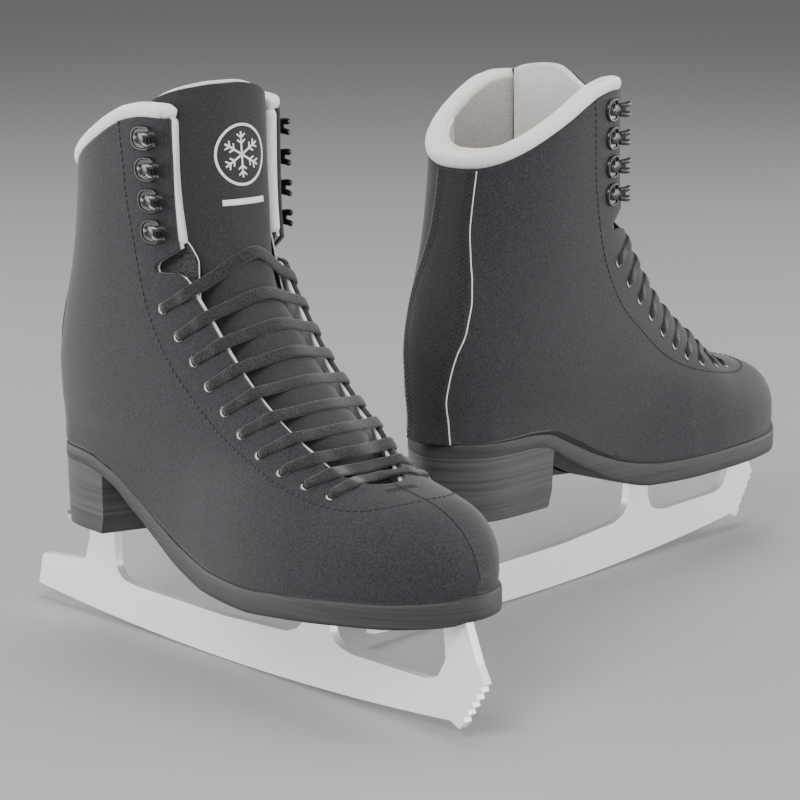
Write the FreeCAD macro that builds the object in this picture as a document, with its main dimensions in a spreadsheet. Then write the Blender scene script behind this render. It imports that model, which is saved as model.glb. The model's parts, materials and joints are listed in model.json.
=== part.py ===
"""A pair of figure skates: leather boots on stacked heels, each screwed to a steel blade.

Both skates are the same set of pieces, built once in a skate frame (X towards the toe, Y to
the left, Z up, floor at Z = 0) and mirrored for the left foot. Each skate is then set down on
the floor at its own place and heading. The outer side of a boot is -Y on the right foot.
"""
import FreeCAD
import Part
import math
import os
import Sketcher

from FreeCAD import Placement, Rotation, Vector

DIMENSIONS = {
    # blade: heights above the ice and stations along it
    "blade_thickness": 4.0, "rocker_radius": 1550.0, "tail_x": -134.6, "tail_low": 5.8, "tail_high": 21.5,
    "tail_end_x": -102.0, "tail_end_z": 24.5, "plate_underside": 47.0, "heel_seat": 49.5,
    "heel_stanchion_back": -93.0, "heel_stanchion_front": -70.0, "runner_top": 18.5,
    "middle_stanchion_back": 57.0, "middle_stanchion_front": 73.0, "front_stanchion_back": 138.5,
    "front_stanchion_front": 148.0, "pick_top_x": 162.6, "pick_top_z": 26.0, "drag_pick_x": 148.5,
    "drag_pick_z": 4.2, "pick_root_x": 143.0, "pick_depth": 2.2, "cutout_fillet": 7.0,
    # plates and screws
    "plate_thickness": 2.5, "sole_plate_back": 22.0, "sole_plate_front": 148.0, "sole_plate_waist": 15.0,
    "sole_plate_ball": 25.0, "heel_plate_back": -94.0, "heel_plate_front": -58.0, "heel_plate_half": 21.0,
    "screw_radius": 2.0, "screw_hole_radius": 2.3, "screw_head_radius": 4.2, "screw_head_height": 1.8,
    "screw_length": 11.0,
    # sole and heel
    "sole_heel_z": 79.0,
    "heel_bottom": 52.0, "heel_cap_thickness": 6.0, "heel_back": -99.0, "heel_breast": -50.0,
    "heel_half_width": 26.5,
    # layers of the boot, each measured inwards from the outside of the leather
    "upper_thickness": 3.0, "stiffener_depth": 3.2, "stiffener_thickness": 1.5, "lining_depth": 4.9,
    "lining_thickness": 2.0, "tongue_depth": 10.6, "tongue_thickness": 5.0, "tongue_top_depth": 6.5,
    "panel_thickness": 1.2, "board_thickness": 2.5, "footbed_thickness": 4.0, "layer_gap": 0.2,
    # boot opening
    "collar_height": 8.0, "throat_half_top": 28.8, "throat_half_low": 22.0, "tongue_half": 26.4,
    "tongue_peak_z": 252.5,
    # hardware and lace
    "eyelet_outer": 3.9, "eyelet_bore": 2.3, "eyelet_barrel": 2.8, "hook_base": 5.4, "lace_radius": 1.2,
    # where each skate stands
    "right_x": -86.35, "right_y": -63.03, "right_heading": -47.6, "left_x": 64.65, "left_y": 58.97,
    "left_heading": 49.8, "blade_rest": 0.034,
}

doc = FreeCAD.newDocument("FigureSkates")
sheet = doc.addObject("Spreadsheet::Sheet", "Dimensions")
for row, (alias, number) in enumerate(DIMENSIONS.items(), start=1):
    sheet.set("A%d" % row, alias)
    sheet.set("B%d" % row, str(number))
    sheet.setAlias("B%d" % row, alias)
doc.recompute()


class Size:
    """A number from the sheet, or arithmetic on such numbers, that remembers its expression."""

    def __init__(self, value, text):
        self.value = value
        self.text = text

    def _with(self, other, symbol, value):
        return Size(value, "(%s %s %s)" % (self.text, symbol, as_size(other).text))

    def __add__(self, other):
        return self._with(other, "+", self.value + as_size(other).value)

    def __sub__(self, other):
        return self._with(other, "-", self.value - as_size(other).value)

    def __mul__(self, other):
        return self._with(other, "*", self.value * as_size(other).value)

    def __neg__(self):
        return Size(-self.value, "(-1 * %s)" % self.text)


def as_size(number):
    return number if isinstance(number, Size) else Size(float(number), repr(float(number)))


def dim(alias):
    return Size(float(sheet.get(alias)), "Dimensions." + alias)


def mm(alias):
    return float(sheet.get(alias))


def bind(thing, prop, size):
    size = as_size(size)
    setattr(thing, prop, size.value)
    thing.setExpression(prop, size.text)


# ---------------------------------------------------------------- skates, bodies and sketches

SIDES = {"right": 1, "left": -1}
pieces = []


def stance(side):
    heading = Rotation(Vector(0, 0, 1), mm(side + "_heading"))
    return Placement(Vector(mm(side + "_x"), mm(side + "_y"), mm("blade_rest")), heading)


def keep(thing, side, name):
    thing.Label = "%s_%s" % (side, name)
    thing.Placement = stance(side)
    pieces.append(thing)
    return thing


def feature(name, shape):
    """A piece whose shape is worked out here, once for each foot and mirrored for the left one."""
    for side, sign in SIDES.items():
        thing = doc.addObject("Part::Feature", "%s_%s" % (side, name))
        thing.Shape = shape if sign > 0 else shape.mirror(Vector(0, 0, 0), Vector(0, 1, 0))
        keep(thing, side, name)


def new_body(side, name):
    return keep(doc.addObject("PartDesign::Body", "%s_%s" % (side, name)), side, name)


def new_sketch(body, name, role, height=None):
    sketch = body.newObject("Sketcher::SketchObject", body.Name + "_" + name)
    plane = [item for item in body.Origin.OriginFeatures if item.Role == role][0]
    sketch.AttachmentSupport = [(plane, "")]
    sketch.MapMode = "FlatFace"
    if height is not None:
        sketch.AttachmentOffset = Placement(Vector(0, 0, as_size(height).value), Rotation())
        sketch.setExpression("AttachmentOffset.Base.z", as_size(height).text)
    return sketch


def pin_point(sketch, line, x, y):
    """Hold the start of a line at (x, y) with two bound distances from the sketch's origin."""
    for kind, size in (("DistanceX", as_size(x)), ("DistanceY", as_size(y))):
        index = sketch.addConstraint(Sketcher.Constraint(kind, -1, 1, line, 1, size.value))
        sketch.setExpression("Constraints[%d]" % index, size.text)


def arc_between(start, end, radius):
    """The short arc that turns left from start to end."""
    middle = (start + end) * 0.5
    run = (end - start).Length / 2
    left = Vector(start.y - end.y, end.x - start.x, 0).normalize()
    centre = middle + left * math.sqrt(max(radius * radius - run * run, 0))
    crown = centre + (middle - centre - left * 1e-6).normalize() * radius
    return Part.Arc(start, crown, end)


def outline(sketch, points, arcs=()):
    """A closed outline with every corner bound to the sheet; arcs holds (edge number, radius)."""
    corners = [Vector(as_size(x).value, as_size(y).value, 0) for x, y in points]
    first = sketch.GeometryCount
    radii = dict(arcs)
    for number, (start, end) in enumerate(zip(corners, corners[1:] + corners[:1])):
        if number in radii:
            edge = sketch.addGeometry(arc_between(start, end, as_size(radii[number]).value), False)
            rule = sketch.addConstraint(Sketcher.Constraint("Radius", edge, as_size(radii[number]).value))
            sketch.setExpression("Constraints[%d]" % rule, as_size(radii[number]).text)
        else:
            sketch.addGeometry(Part.LineSegment(start, end), False)
    last = sketch.GeometryCount - 1
    for line in range(first, last + 1):
        following = first if line == last else line + 1
        sketch.addConstraint(Sketcher.Constraint("Coincident", line, 2, following, 1))
    for line, (x, y) in enumerate(points, start=first):
        pin_point(sketch, line, x, y)


def circle(sketch, x, y, radius):
    index = sketch.addGeometry(Part.Circle(Vector(as_size(x).value, as_size(y).value, 0),
                                           Vector(0, 0, 1), as_size(radius).value), False)
    for kind, size in (("DistanceX", as_size(x)), ("DistanceY", as_size(y))):
        number = sketch.addConstraint(Sketcher.Constraint(kind, -1, 1, index, 3, size.value))
        sketch.setExpression("Constraints[%d]" % number, size.text)
    number = sketch.addConstraint(Sketcher.Constraint("Radius", index, as_size(radius).value))
    sketch.setExpression("Constraints[%d]" % number, as_size(radius).text)


def pad(body, sketch, length, both_ways=False):
    made = body.newObject("PartDesign::Pad", sketch.Name + "_pad")
    made.Profile = sketch
    bind(made, "Length", length)
    if both_ways:
        made.SideType = "Symmetric"
    return made


def fillet_edges(body, base, radius, wanted):
    """Round the edges of the last feature that wanted() picks by their middle point."""
    doc.recompute()
    names = ["Edge%d" % (i + 1) for i, edge in enumerate(base.Shape.Edges)
             if wanted(edge, edge.valueAt((edge.FirstParameter + edge.LastParameter) / 2))]
    made = body.newObject("PartDesign::Fillet", base.Name + "_fillet")
    made.Base = (base, names)
    bind(made, "Radius", radius)
    return made


# ---------------------------------------------------------------- blade, plates and screws

def make_runner(side):
    """The runner, its three stanchions and the toe picks: one sheet of steel."""
    body = new_body(side, "blade_runner")
    sketch = new_sketch(body, "profile", "XZ_Plane")
    tops = dim("plate_underside")
    corners = [(dim("tail_x"), dim("tail_low")), (dim("pick_root_x"), dim("tail_low") + 0.8),
               (dim("drag_pick_x"), dim("drag_pick_z"))]
    teeth = 5
    start_x, start_z = dim("drag_pick_x") + 1.5, dim("drag_pick_z") + 3.2
    step_x = (dim("pick_top_x") - start_x) * (1.0 / teeth)
    step_z = (dim("pick_top_z") - start_z) * (1.0 / teeth)
    for tooth in range(teeth):
        corners.append((start_x + step_x * tooth + dim("pick_depth") * 0.45, start_z + step_z * tooth))
        corners.append((start_x + step_x * (tooth + 0.45) - dim("pick_depth") * 0.6,
                        start_z + step_z * (tooth + 0.45)))
    corners += [
        (dim("pick_top_x"), dim("pick_top_z")),
        (dim("front_stanchion_front"), tops), (dim("front_stanchion_back"), tops),
        (dim("front_stanchion_back") + 1.5, dim("runner_top") + 12.0),
        (dim("front_stanchion_back") - 3.0, dim("runner_top") + 5.0),
        (dim("middle_stanchion_front") + 10.0, dim("runner_top") + 2.5), (dim("middle_stanchion_front"), tops),
        (dim("middle_stanchion_back"), tops), (dim("middle_stanchion_back") - 8.0, dim("runner_top") + 2.5),
        (dim("heel_stanchion_front") + 70.0, dim("runner_top") - 1.5),
        (dim("heel_stanchion_front") + 8.0, dim("runner_top") + 1.0),
        (dim("heel_stanchion_front"), dim("heel_seat")), (dim("heel_stanchion_back"), dim("heel_seat")),
        (dim("heel_stanchion_back"), dim("tail_end_z") + 8.0), (dim("tail_end_x"), dim("tail_end_z")),
        (dim("tail_x") + 2.5, dim("tail_high")),
    ]
    outline(sketch, corners, arcs=[(0, dim("rocker_radius"))])
    blank = pad(body, sketch, dim("blade_thickness"), both_ways=True)
    hollows = [(mm("front_stanchion_back") + 1.5, mm("runner_top") + 12.0),
               (mm("front_stanchion_back") - 3.0, mm("runner_top") + 5.0),
               (mm("middle_stanchion_front") + 10.0, mm("runner_top") + 2.5),
               (mm("middle_stanchion_back") - 8.0, mm("runner_top") + 2.5),
               (mm("heel_stanchion_front") + 8.0, mm("runner_top") + 1.0),
               (mm("heel_stanchion_back"), mm("tail_end_z") + 8.0)]

    def in_hollow(edge, middle):
        across = abs(edge.BoundBox.YLength - mm("blade_thickness")) < 0.01
        return across and any(math.hypot(middle.x - x, middle.z - z) < 0.1 for x, z in hollows)

    body.Tip = fillet_edges(body, blank, dim("cutout_fillet") * 0.6, in_hollow)


SOLE_SCREWS = [(34, 8), (96, 19), (134, 14)]
HEEL_SCREWS = [(-88, 14), (-65, 14)]


def make_plate(side, name, corners, height, screws):
    """A flat mounting plate with a row of screw holes each side of the blade."""
    body = new_body(side, name)
    sketch = new_sketch(body, "plan", "XY_Plane", height)
    outline(sketch, corners)
    for x, y in screws:
        for sign in (1, -1):
            circle(sketch, x, sign * y, dim("screw_hole_radius"))
    blank = pad(body, sketch, dim("plate_thickness"))

    def corner_edge(edge, middle):
        upright = abs(edge.BoundBox.ZLength - mm("plate_thickness")) < 0.01
        return upright and edge.Curve.TypeId == "Part::GeomLine" and not edge.isClosed() \
            and all(math.hypot(middle.x - x, abs(middle.y) - y) > mm("screw_hole_radius") + 0.5 for x, y in screws)

    body.Tip = fillet_edges(body, blank, 6.0, corner_edge)


def make_sole_plate(side):
    half_waist, half_ball = dim("sole_plate_waist"), dim("sole_plate_ball")
    back, front = dim("sole_plate_back"), dim("sole_plate_front")
    right_edge = [(back, -half_waist), (back + 40.0, -half_waist - 1.0), (front - 50.0, -half_ball),
                  (front - 14.0, -half_ball + 3.0), (front, -half_waist + 3.0)]
    left_edge = [(x, -y) for x, y in reversed(right_edge)]
    make_plate(side, "sole_plate", right_edge + left_edge, dim("plate_underside"), SOLE_SCREWS)


def make_heel_plate(side):
    half = dim("heel_plate_half")
    back, front = dim("heel_plate_back"), dim("heel_plate_front")
    corners = [(back, -half + 4.0), (back + 6.0, -half), (front, -half), (front, half), (back + 6.0, half),
               (back, half - 4.0)]
    make_plate(side, "heel_plate", corners, dim("heel_seat"), HEEL_SCREWS)


def screw(x, y, underside):
    """A pan-head screw driven upwards through a plate whose lower face is at underside."""
    head, shank = mm("screw_head_radius"), mm("screw_radius")
    tall, length = mm("screw_head_height"), mm("screw_length")
    profile = Part.makePolygon([Vector(0, 0, -tall), Vector(head * 0.55, 0, -tall), Vector(head, 0, -tall * 0.35),
                                Vector(head, 0, 0), Vector(shank, 0, 0), Vector(shank, 0, length - 2.0),
                                Vector(0, 0, length), Vector(0, 0, -tall)])
    solid = Part.Face(profile).revolve(Vector(0, 0, 0), Vector(0, 0, 1), 360)
    slot = Part.makeBox(2 * head, 0.9, 0.8, Vector(-head, -0.45, -tall))
    solid = solid.cut(slot)
    solid.translate(Vector(x, y, underside))
    return solid


def make_screws(name, places, underside):
    screws = [screw(x, sign * y, underside) for x, y in places for sign in (1, -1)]
    feature(name, Part.makeCompound(screws))


# ---------------------------------------------------------------- heel

def make_heel_layer(side, name, height, low, grow, bevel):
    """One D-shaped layer of the heel: straight breast in front, round at the back."""
    body = new_body(side, name)
    sketch = new_sketch(body, "plan", "XY_Plane", low)
    half = dim("heel_half_width") + grow
    breast = dim("heel_breast")
    turn = dim("heel_back") + half * 0.73
    outline(sketch, [(breast, -half), (breast, half), (turn, half), (turn, -half)], arcs=[(2, half * 1.05)])
    blank = pad(body, sketch, height)
    if bevel:
        def lower_breast(edge, middle):
            return abs(middle.z - as_size(low).value) < 0.01 and abs(middle.x - mm("heel_breast")) < 0.01
        doc.recompute()
        names = ["Edge%d" % (i + 1) for i, edge in enumerate(blank.Shape.Edges)
                 if lower_breast(edge, edge.CenterOfMass)]
        cut = body.newObject("PartDesign::Chamfer", body.Name + "_bevel")
        cut.Base = (blank, names)
        cut.Size = 2.5
        body.Tip = cut


# ---------------------------------------------------------------- the boot's form

# Level slices of the leg and instep: height, back, front, half width.
LEG_SLICES = [(60, -97, 70, 25.5), (75, -98, 82, 27.5), (90, -100, 93, 30), (108, -102, 92, 34),
              (122, -101.5, 75, 34.5), (138, -98, 56, 34), (152, -93.5, 44, 33.8), (168, -87.5, 32, 33.8),
              (185, -83, 25, 34), (210, -78.5, 20.5, 35), (235, -76, 18.5, 35.8), (258, -74.5, 17.5, 36)]

# Upright slices of the foot: station, half width, offset towards the inner side, ridge height.
FOOT_SLICES = [(-92, 17, 0, 104), (-80, 24.5, 0, 112), (-55, 27.5, -0.3, 118), (-25, 28.5, -0.8, 120),
               (5, 31.5, -1.2, 121), (35, 36, -1.8, 121), (60, 39.5, -1.5, 116), (80, 40.5, -0.5, 108),
               (100, 39, 1.0, 99), (116, 35.5, 2.2, 95.4), (129, 30.5, 3.2, 92.4), (139, 24.5, 3.8, 87.5),
               (146, 18, 4.0, 81.5), (150.2, 11.5, 4.0, 75.5), (152.2, 5, 4.0, 69.5)]
FOOT_MIDDLE = 27.0
WIDEST_HEIGHT = 66.0
ROUNDNESS = 2.5


def ring(centre, along, half_along, across, half_across):
    """A closed smooth curve, fuller than an ellipse, about a centre in the plane of two axes."""
    points = []
    count = 16
    for step in range(count):
        angle = 2 * math.pi * step / count
        cosine, sine = math.cos(angle), math.sin(angle)
        reach = (abs(cosine) ** ROUNDNESS + abs(sine) ** ROUNDNESS) ** (-1 / ROUNDNESS)
        points.append(centre + along * (half_along * reach * cosine) + across * (half_across * reach * sine))
    curve = Part.BSplineCurve()
    curve.interpolate(points, PeriodicFlag=True)
    return Part.Wire([curve.toShape()])


def leg_form(inset):
    wires = []
    for height, back, front, half in LEG_SLICES:
        centre = Vector((back + front) / 2, 0, height)
        wires.append(ring(centre, Vector(1, 0, 0), (front - back) / 2 - inset, Vector(0, 1, 0), half - inset))
    return Part.makeLoft(wires, True, False)


def foot_form(inset):
    reach = (FOOT_SLICES[-1][0] - FOOT_SLICES[0][0]) / 2
    wires = []
    for station, half, offset, ridge in FOOT_SLICES:
        x = FOOT_MIDDLE + (station - FOOT_MIDDLE) * (reach - inset) / reach
        tall = ridge - WIDEST_HEIGHT
        centre = Vector(x, offset, WIDEST_HEIGHT)
        wires.append(ring(centre, Vector(0, 0, 1), tall - inset * min(1.0, tall / 30),
                          Vector(0, 1, 0), half - inset * min(1.0, half / 30)))
    return Part.makeLoft(wires, True, False)


forms = {}


def boot_form(inset):
    """The outside of the leather, moved inwards by an inset (outwards when it is negative)."""
    if inset not in forms:
        forms[inset] = leg_form(inset).fuse(foot_form(inset)).removeSplitter()
    return forms[inset]


def layer(outer, inner):
    return boot_form(outer).cut(boot_form(inner))


def side_prism(points, half=80.0):
    """A solid whose outline is drawn in side view (x, z)."""
    wire = Part.makePolygon([Vector(x, -half, z) for x, z in points + points[:1]])
    return Part.Face(wire).extrude(Vector(0, 2 * half, 0))


def front_prism(points, start, end):
    """A solid whose outline is drawn in front view (y, z), between two stations."""
    wire = Part.makePolygon([Vector(start, y, z) for y, z in points + points[:1]])
    return Part.Face(wire).extrude(Vector(end - start, 0, 0))


def mirrored_outline(points):
    return points + [(-y, z) for y, z in reversed(points)]


# The top of the sole in side view, from heel to toe.
SOLE_TOP = [(-110, 86), (-47, 86), (-28, 78), (-9, 69.5), (12, 62), (35, 57.5), (125, 57.5), (160, 61.5)]
SOLE_UNDER = [(-110, 79), (-50, 79), (-31, 71.5), (-12, 62.5), (8, 54.5), (30, 49.5), (125, 49.5), (160, 53.5)]

# The edge of the sole seen from above: station, outer half width, inner half width.
SOLE_EDGE = [(-92, 16, 16), (-78, 24, 24), (-50, 26.5, 26.2), (-20, 28, 26.5), (12, 32.8, 30.2), (40, 38.3, 35),
             (62, 41, 38), (88, 40, 39), (110, 35.5, 37.8), (129, 27, 34), (142, 17.5, 26.5), (149.5, 8, 18)]
SOLE_HEEL_X = -99.5
SOLE_TOE = (153.5, 4.5)


def sole_plan(inset):
    """The sole's outline from above as one smooth closed wire, moved inwards by an inset."""
    outer = [Vector(x * 1.0, -(half - inset), 0) for x, half, _ in SOLE_EDGE]
    inner = [Vector(x * 1.0, half - inset, 0) for x, _, half in SOLE_EDGE]
    ends = [Vector(SOLE_HEEL_X + inset, 0, 0), Vector(SOLE_TOE[0] - inset, SOLE_TOE[1], 0)]
    shrink = 1 - inset / 125.0
    loop = [ends[0]] + outer + [ends[1]] + list(reversed(inner))
    loop = [Vector(FOOT_MIDDLE + (point.x - FOOT_MIDDLE) * shrink, point.y, 0) if point not in ends else point
            for point in loop]
    curve = Part.BSplineCurve()
    curve.interpolate(loop, PeriodicFlag=True)
    return Part.Wire([curve.toShape()])


def sole_slab(lower, upper, inset):
    """The space between two side-view lines, inside the sole's plan."""
    band = side_prism(lower + upper[::-1])
    return band.common(Part.Face(sole_plan(inset)).extrude(Vector(0, 0, 160)))


def sole_sheet(lower, upper, inset):
    """A sheet that follows the sole between two heights above its top."""
    return sole_slab([(x, z + lower) for x, z in SOLE_TOP], [(x, z + upper) for x, z in SOLE_TOP], inset)


def above_sole(lift):
    """Everything above the sole by lift and below the boot's top edge."""
    base = [(x, z + lift) for x, z in SOLE_TOP]
    return side_prism(base + [(160, 175)] + TOP_EDGE)


# The top edge of the leather in side view, from the front of the leg to the back.
TOP_EDGE = [(70, 238), (4, 238), (-9, 238.4), (-20, 236.8), (-41, 227.5), (-62, 216.5), (-80, 206.5), (-140, 173)]

# The edge of the stay down the back of the boot in back view: half width and height.
BACK_STAY = [(11, 240), (11, 184), (13.7, 168), (16.2, 158), (17.6, 147), (17.4, 137), (15.3, 127), (12.8, 114),
             (11.5, 104), (11.5, 60)]

# The gap between the facings in front view: half width against height, from the vamp point up.
def throat_outline(grow):
    low, high = mm("throat_half_low") + grow, mm("throat_half_top") + grow
    return mirrored_outline([(-high, 300), (-high, 172), (-(low + high) / 2 - 0.5, 140), (-low, 110),
                             (-low * 0.8, 102 - grow * 0.5), (-low * 0.4, 98 - grow * 0.6)])


NOTCH = [(45, 207), (7.3, 184.3), (-4.6, 177), (-5, 173.6), (6, 173.6), (12, 169.3), (45, 166)]


def half_space(sign, gap=0.0):
    """The half of the boot on one side of its middle plane."""
    return Part.makeBox(400, 100, 400, Vector(-200, gap if sign > 0 else -100 - gap, -50))


# ---------------------------------------------------------------- sole, boards and stiffeners

def make_sole_pieces():
    underside = sole_slab(SOLE_UNDER, [(x, z - mm("layer_gap")) for x, z in SOLE_TOP], -1.5)
    recess = shank_strip(0.15)
    feature("outsole", underside.cut(recess))
    feature("shank", shank_strip(0.0))
    feature("insole_board", sole_sheet(0.1, mm("board_thickness"), mm("upper_thickness") + 1.2))
    low = mm("board_thickness") + 0.3
    depth = mm("lining_depth") + mm("lining_thickness") + 1.4
    feature("footbed", sole_sheet(low, low + mm("footbed_thickness"), depth))


def shank_strip(grow):
    """The stiffening strip let into the top of the sole under the arch."""
    line = [(-80, 86), (-47, 86), (-28, 78), (-9, 69.5), (12, 62), (26, 59.2)]
    low = [(x, z - 1.9 - grow) for x, z in line]
    high = [(x, z - mm("layer_gap") + (1.0 if grow else 0.0)) for x, z in line]
    low[0] = (low[0][0] - grow, low[0][1])
    high[0] = (high[0][0] - grow, high[0][1])
    low[-1] = (low[-1][0] + grow, low[-1][1])
    high[-1] = (high[-1][0] + grow, high[-1][1])
    return side_prism(low + high[::-1], 9.0 + grow)


def make_stiffeners():
    skin = layer(mm("stiffener_depth"), mm("stiffener_depth") + mm("stiffener_thickness"))
    above = above_sole(3.0)
    heel = side_prism([(-120, 60), (-38, 60), (-42, 110), (-62, 132), (-120, 138)])
    feature("heel_counter", skin.common(above).common(heel))
    toe = side_prism([(114, 50), (114, 120), (170, 120), (170, 50)])
    feature("toe_puff", skin.common(above).common(toe))


# ---------------------------------------------------------------- upper, lining, collar, tongue

def drilled(shape, places, radius):
    """The shape with a hole through it at every eyelet place."""
    for point, outward in places:
        start = point + outward * 4.0
        shape = shape.cut(Part.makeCylinder(radius, 14.0, start, outward * -1))
    return shape


def make_upper():
    throat = front_prism(throat_outline(0.0), -22, 160)
    notch = side_prism(NOTCH)
    holes = eyelet_places()
    skin = layer(0.0, mm("upper_thickness")).common(above_sole(0.0)).cut(throat).cut(notch)
    inner_skin = layer(mm("lining_depth"), mm("lining_depth") + mm("lining_thickness"))
    inner_skin = inner_skin.common(above_sole(mm("board_thickness") + 0.3)).cut(throat)
    for sign, name in ((-1, "quarter_outer"), (1, "quarter_inner")):
        half = skin.common(half_space(sign, 0.05))
        feature(name, drilled(half, holes[sign], mm("eyelet_barrel") + 0.1))
    lining = inner_skin
    for sign in (-1, 1):
        lining = drilled(lining, holes[sign], mm("eyelet_barrel") + 0.1)
    feature("lining", lining)
    panel = layer(-mm("panel_thickness"), -0.05).common(above_sole(0.0))
    reach = front_prism(mirrored_outline(BACK_STAY), -130, -60)
    feature("back_counter_panel", panel.common(reach))


def make_collar():
    band = [(x, z + 0.3) for x, z in TOP_EDGE]
    raised = [(x, z + mm("collar_height")) for x, z in band]
    throat = front_prism(throat_outline(0.6), -22, 160)
    roll = layer(-0.8, 8.2).common(side_prism(band + raised[::-1])).cut(throat)
    feature("collar_roll", roll)
    low = [(70, 205), (8, 205), (-40, 190), (-140, 140)]
    pad_layer = layer(7.2, 11.2).common(side_prism([(x, z - 0.4) for x, z in band] + low[::-1]))
    feature("ankle_padding", pad_layer.cut(front_prism(throat_outline(7.0), -22, 160)))


def make_tongue():
    front = Part.makeBox(160, 120, 400, Vector(-6, -60, 0))
    depth, thick = mm("tongue_depth"), mm("tongue_thickness")
    flank = mirrored_outline([(-36, 174.5), (-33, 140), (-30, 112), (-24, 100), (-12, 92.5)])
    lower = layer(depth, depth + thick).common(front_prism(flank, -2, 118)).common(front)
    feature("tongue_lower", lower)
    half, peak = mm("tongue_half"), mm("tongue_peak_z")
    flap = mirrored_outline([(-half + 1.5, 181), (-half, 190), (-half, 238), (-half * 0.86, 246),
                             (-half * 0.55, peak - 1.6), (-half * 0.2, peak)])
    shallow = mm("tongue_top_depth")
    outer = layer(shallow, shallow + thick).common(front_prism(flap, -6, 60))
    feature("tongue_top", outer)
    inner = layer(shallow + thick + 0.1, shallow + thick + 2.1).common(front_prism(flap, -6, 60))
    feature("tongue_top_lining", inner)


# ---------------------------------------------------------------- eyelets, hooks and lace

# Station and height of each eyelet, from the top of the instep down to the vamp.
EYELETS = [(-0.5, 158.2), (9.2, 148), (18.8, 138.7), (28.4, 129.6), (38.6, 120.6), (49.4, 112.8), (61.2, 106.2),
           (73.8, 101.0), (86.6, 97.3), (98.6, 94.6)]
HOOKS = [(-10, 228.9), (-8.4, 215.9), (-7.1, 203.0), (-5.9, 190.1)]
FACING_EDGES = [(13, 167, 28.0), (22, 157.5, 27.4), (31, 147.5, 26.6), (40, 138, 25.4), (50, 129, 24.4),
                (61, 120.8, 23.4), (73, 113.8, 22.4), (84.5, 107.2, 20.6), (94, 102.4, 18.0), (101, 99, 14.0)]
EYELET_HALF_WIDTHS = [32, 32, 31.5, 31.5, 31.5, 31.5, 31.5, 30.5, 28.5, 25.5]


def on_leather(x, y, z):
    """The nearest place on the outside of the leather, and the direction out of it there."""
    skin = boot_form(0.0)
    probe = Part.Vertex(Vector(x, y, z))
    nearest = skin.Shells[0].distToShape(probe)[1][0][0]
    for face in skin.Faces:
        if face.distToShape(Part.Vertex(nearest))[0] < 1e-4:
            u, v = face.Surface.parameter(nearest)
            outward = face.normalAt(u, v)
            if skin.isInside(nearest + outward * 0.5, 1e-4, True):
                outward = outward * -1
            return nearest, outward
    raise RuntimeError("no leather near %s" % nearest)


place_lists = {}


def eyelet_places():
    if "eyelets" not in place_lists:
        place_lists["eyelets"] = {
            sign: [on_leather(x, sign * half, z) for (x, z), half in zip(EYELETS, EYELET_HALF_WIDTHS)]
            for sign in (-1, 1)}
    return place_lists["eyelets"]


def edge_places():
    """Where each row of lace passes over the front edge of the facing."""
    if "edges" not in place_lists:
        place_lists["edges"] = {sign: [on_leather(x, sign * half, z) for x, z, half in FACING_EDGES]
                                for sign in (-1, 1)}
    return place_lists["edges"]


def hook_places():
    if "hooks" not in place_lists:
        place_lists["hooks"] = {sign: [on_leather(x, sign * 36, z) for x, z in HOOKS] for sign in (-1, 1)}
    return place_lists["hooks"]


def upright_frame(point, outward):
    """A placement whose Z points out of the leather and whose X points to the toe along it."""
    forward = Vector(1, 0, 0)
    forward = (forward - outward * forward.dot(outward)).normalize()
    sideways = outward.cross(forward)
    return Placement(FreeCAD.Matrix(forward.x, sideways.x, outward.x, point.x,
                                    forward.y, sideways.y, outward.y, point.y,
                                    forward.z, sideways.z, outward.z, point.z, 0, 0, 0, 1))


def eyelet_solid():
    bore, barrel, flange = mm("eyelet_bore"), mm("eyelet_barrel"), mm("eyelet_outer")
    deep = mm("lining_depth") + mm("lining_thickness") + 0.3
    lift = 0.25
    profile = Part.makePolygon([Vector(bore, 0, -deep), Vector(barrel, 0, -deep), Vector(barrel, 0, lift),
                                Vector(flange, 0, lift), Vector(flange - 0.3, 0, lift + 0.6),
                                Vector(bore + 0.4, 0, lift + 0.9), Vector(bore, 0, lift + 0.4),
                                Vector(bore, 0, -deep)])
    return Part.Face(profile).revolve(Vector(0, 0, 0), Vector(0, 0, 1), 360)


def hook_solid():
    """A round-backed base plate with a raised forked arm that opens towards the front."""
    base = Part.makeCylinder(mm("hook_base"), 1.1, Vector(0, 0, 0.3))
    base = base.common(Part.makeBox(9.4, 12, 4, Vector(-5.4, -6, 0)))
    riser = Part.makeBox(2.6, 6.0, 4.0, Vector(-1.6, -3.0, 1.2))
    arm = Part.makeBox(9.6, 6.0, 1.2, Vector(-1.6, -3.0, 4.4))
    slot = Part.makeBox(5.0, 2.0, 3.0, Vector(4.0, -1.0, 4.0))
    tips = Part.makeBox(1.2, 6.0, 1.6, Vector(6.8, -3.0, 3.1))
    return base.fuse(riser).fuse(arm).fuse(tips).cut(slot).removeSplitter()


def placed_copies(solid, places):
    copies = []
    for point, outward in places:
        copy = solid.copy()
        copy.Placement = upright_frame(point, outward)
        copies.append(copy)
    return copies


def make_hardware():
    eyelets = eyelet_places()
    hooks = hook_places()
    both = eyelets[-1] + eyelets[1]
    feature("eyelets", Part.makeCompound(placed_copies(eyelet_solid(), both)))
    sets = hooks[-1] + hooks[1]
    feature("lace_hooks", Part.makeCompound(placed_copies(hook_solid(), sets)))


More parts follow.
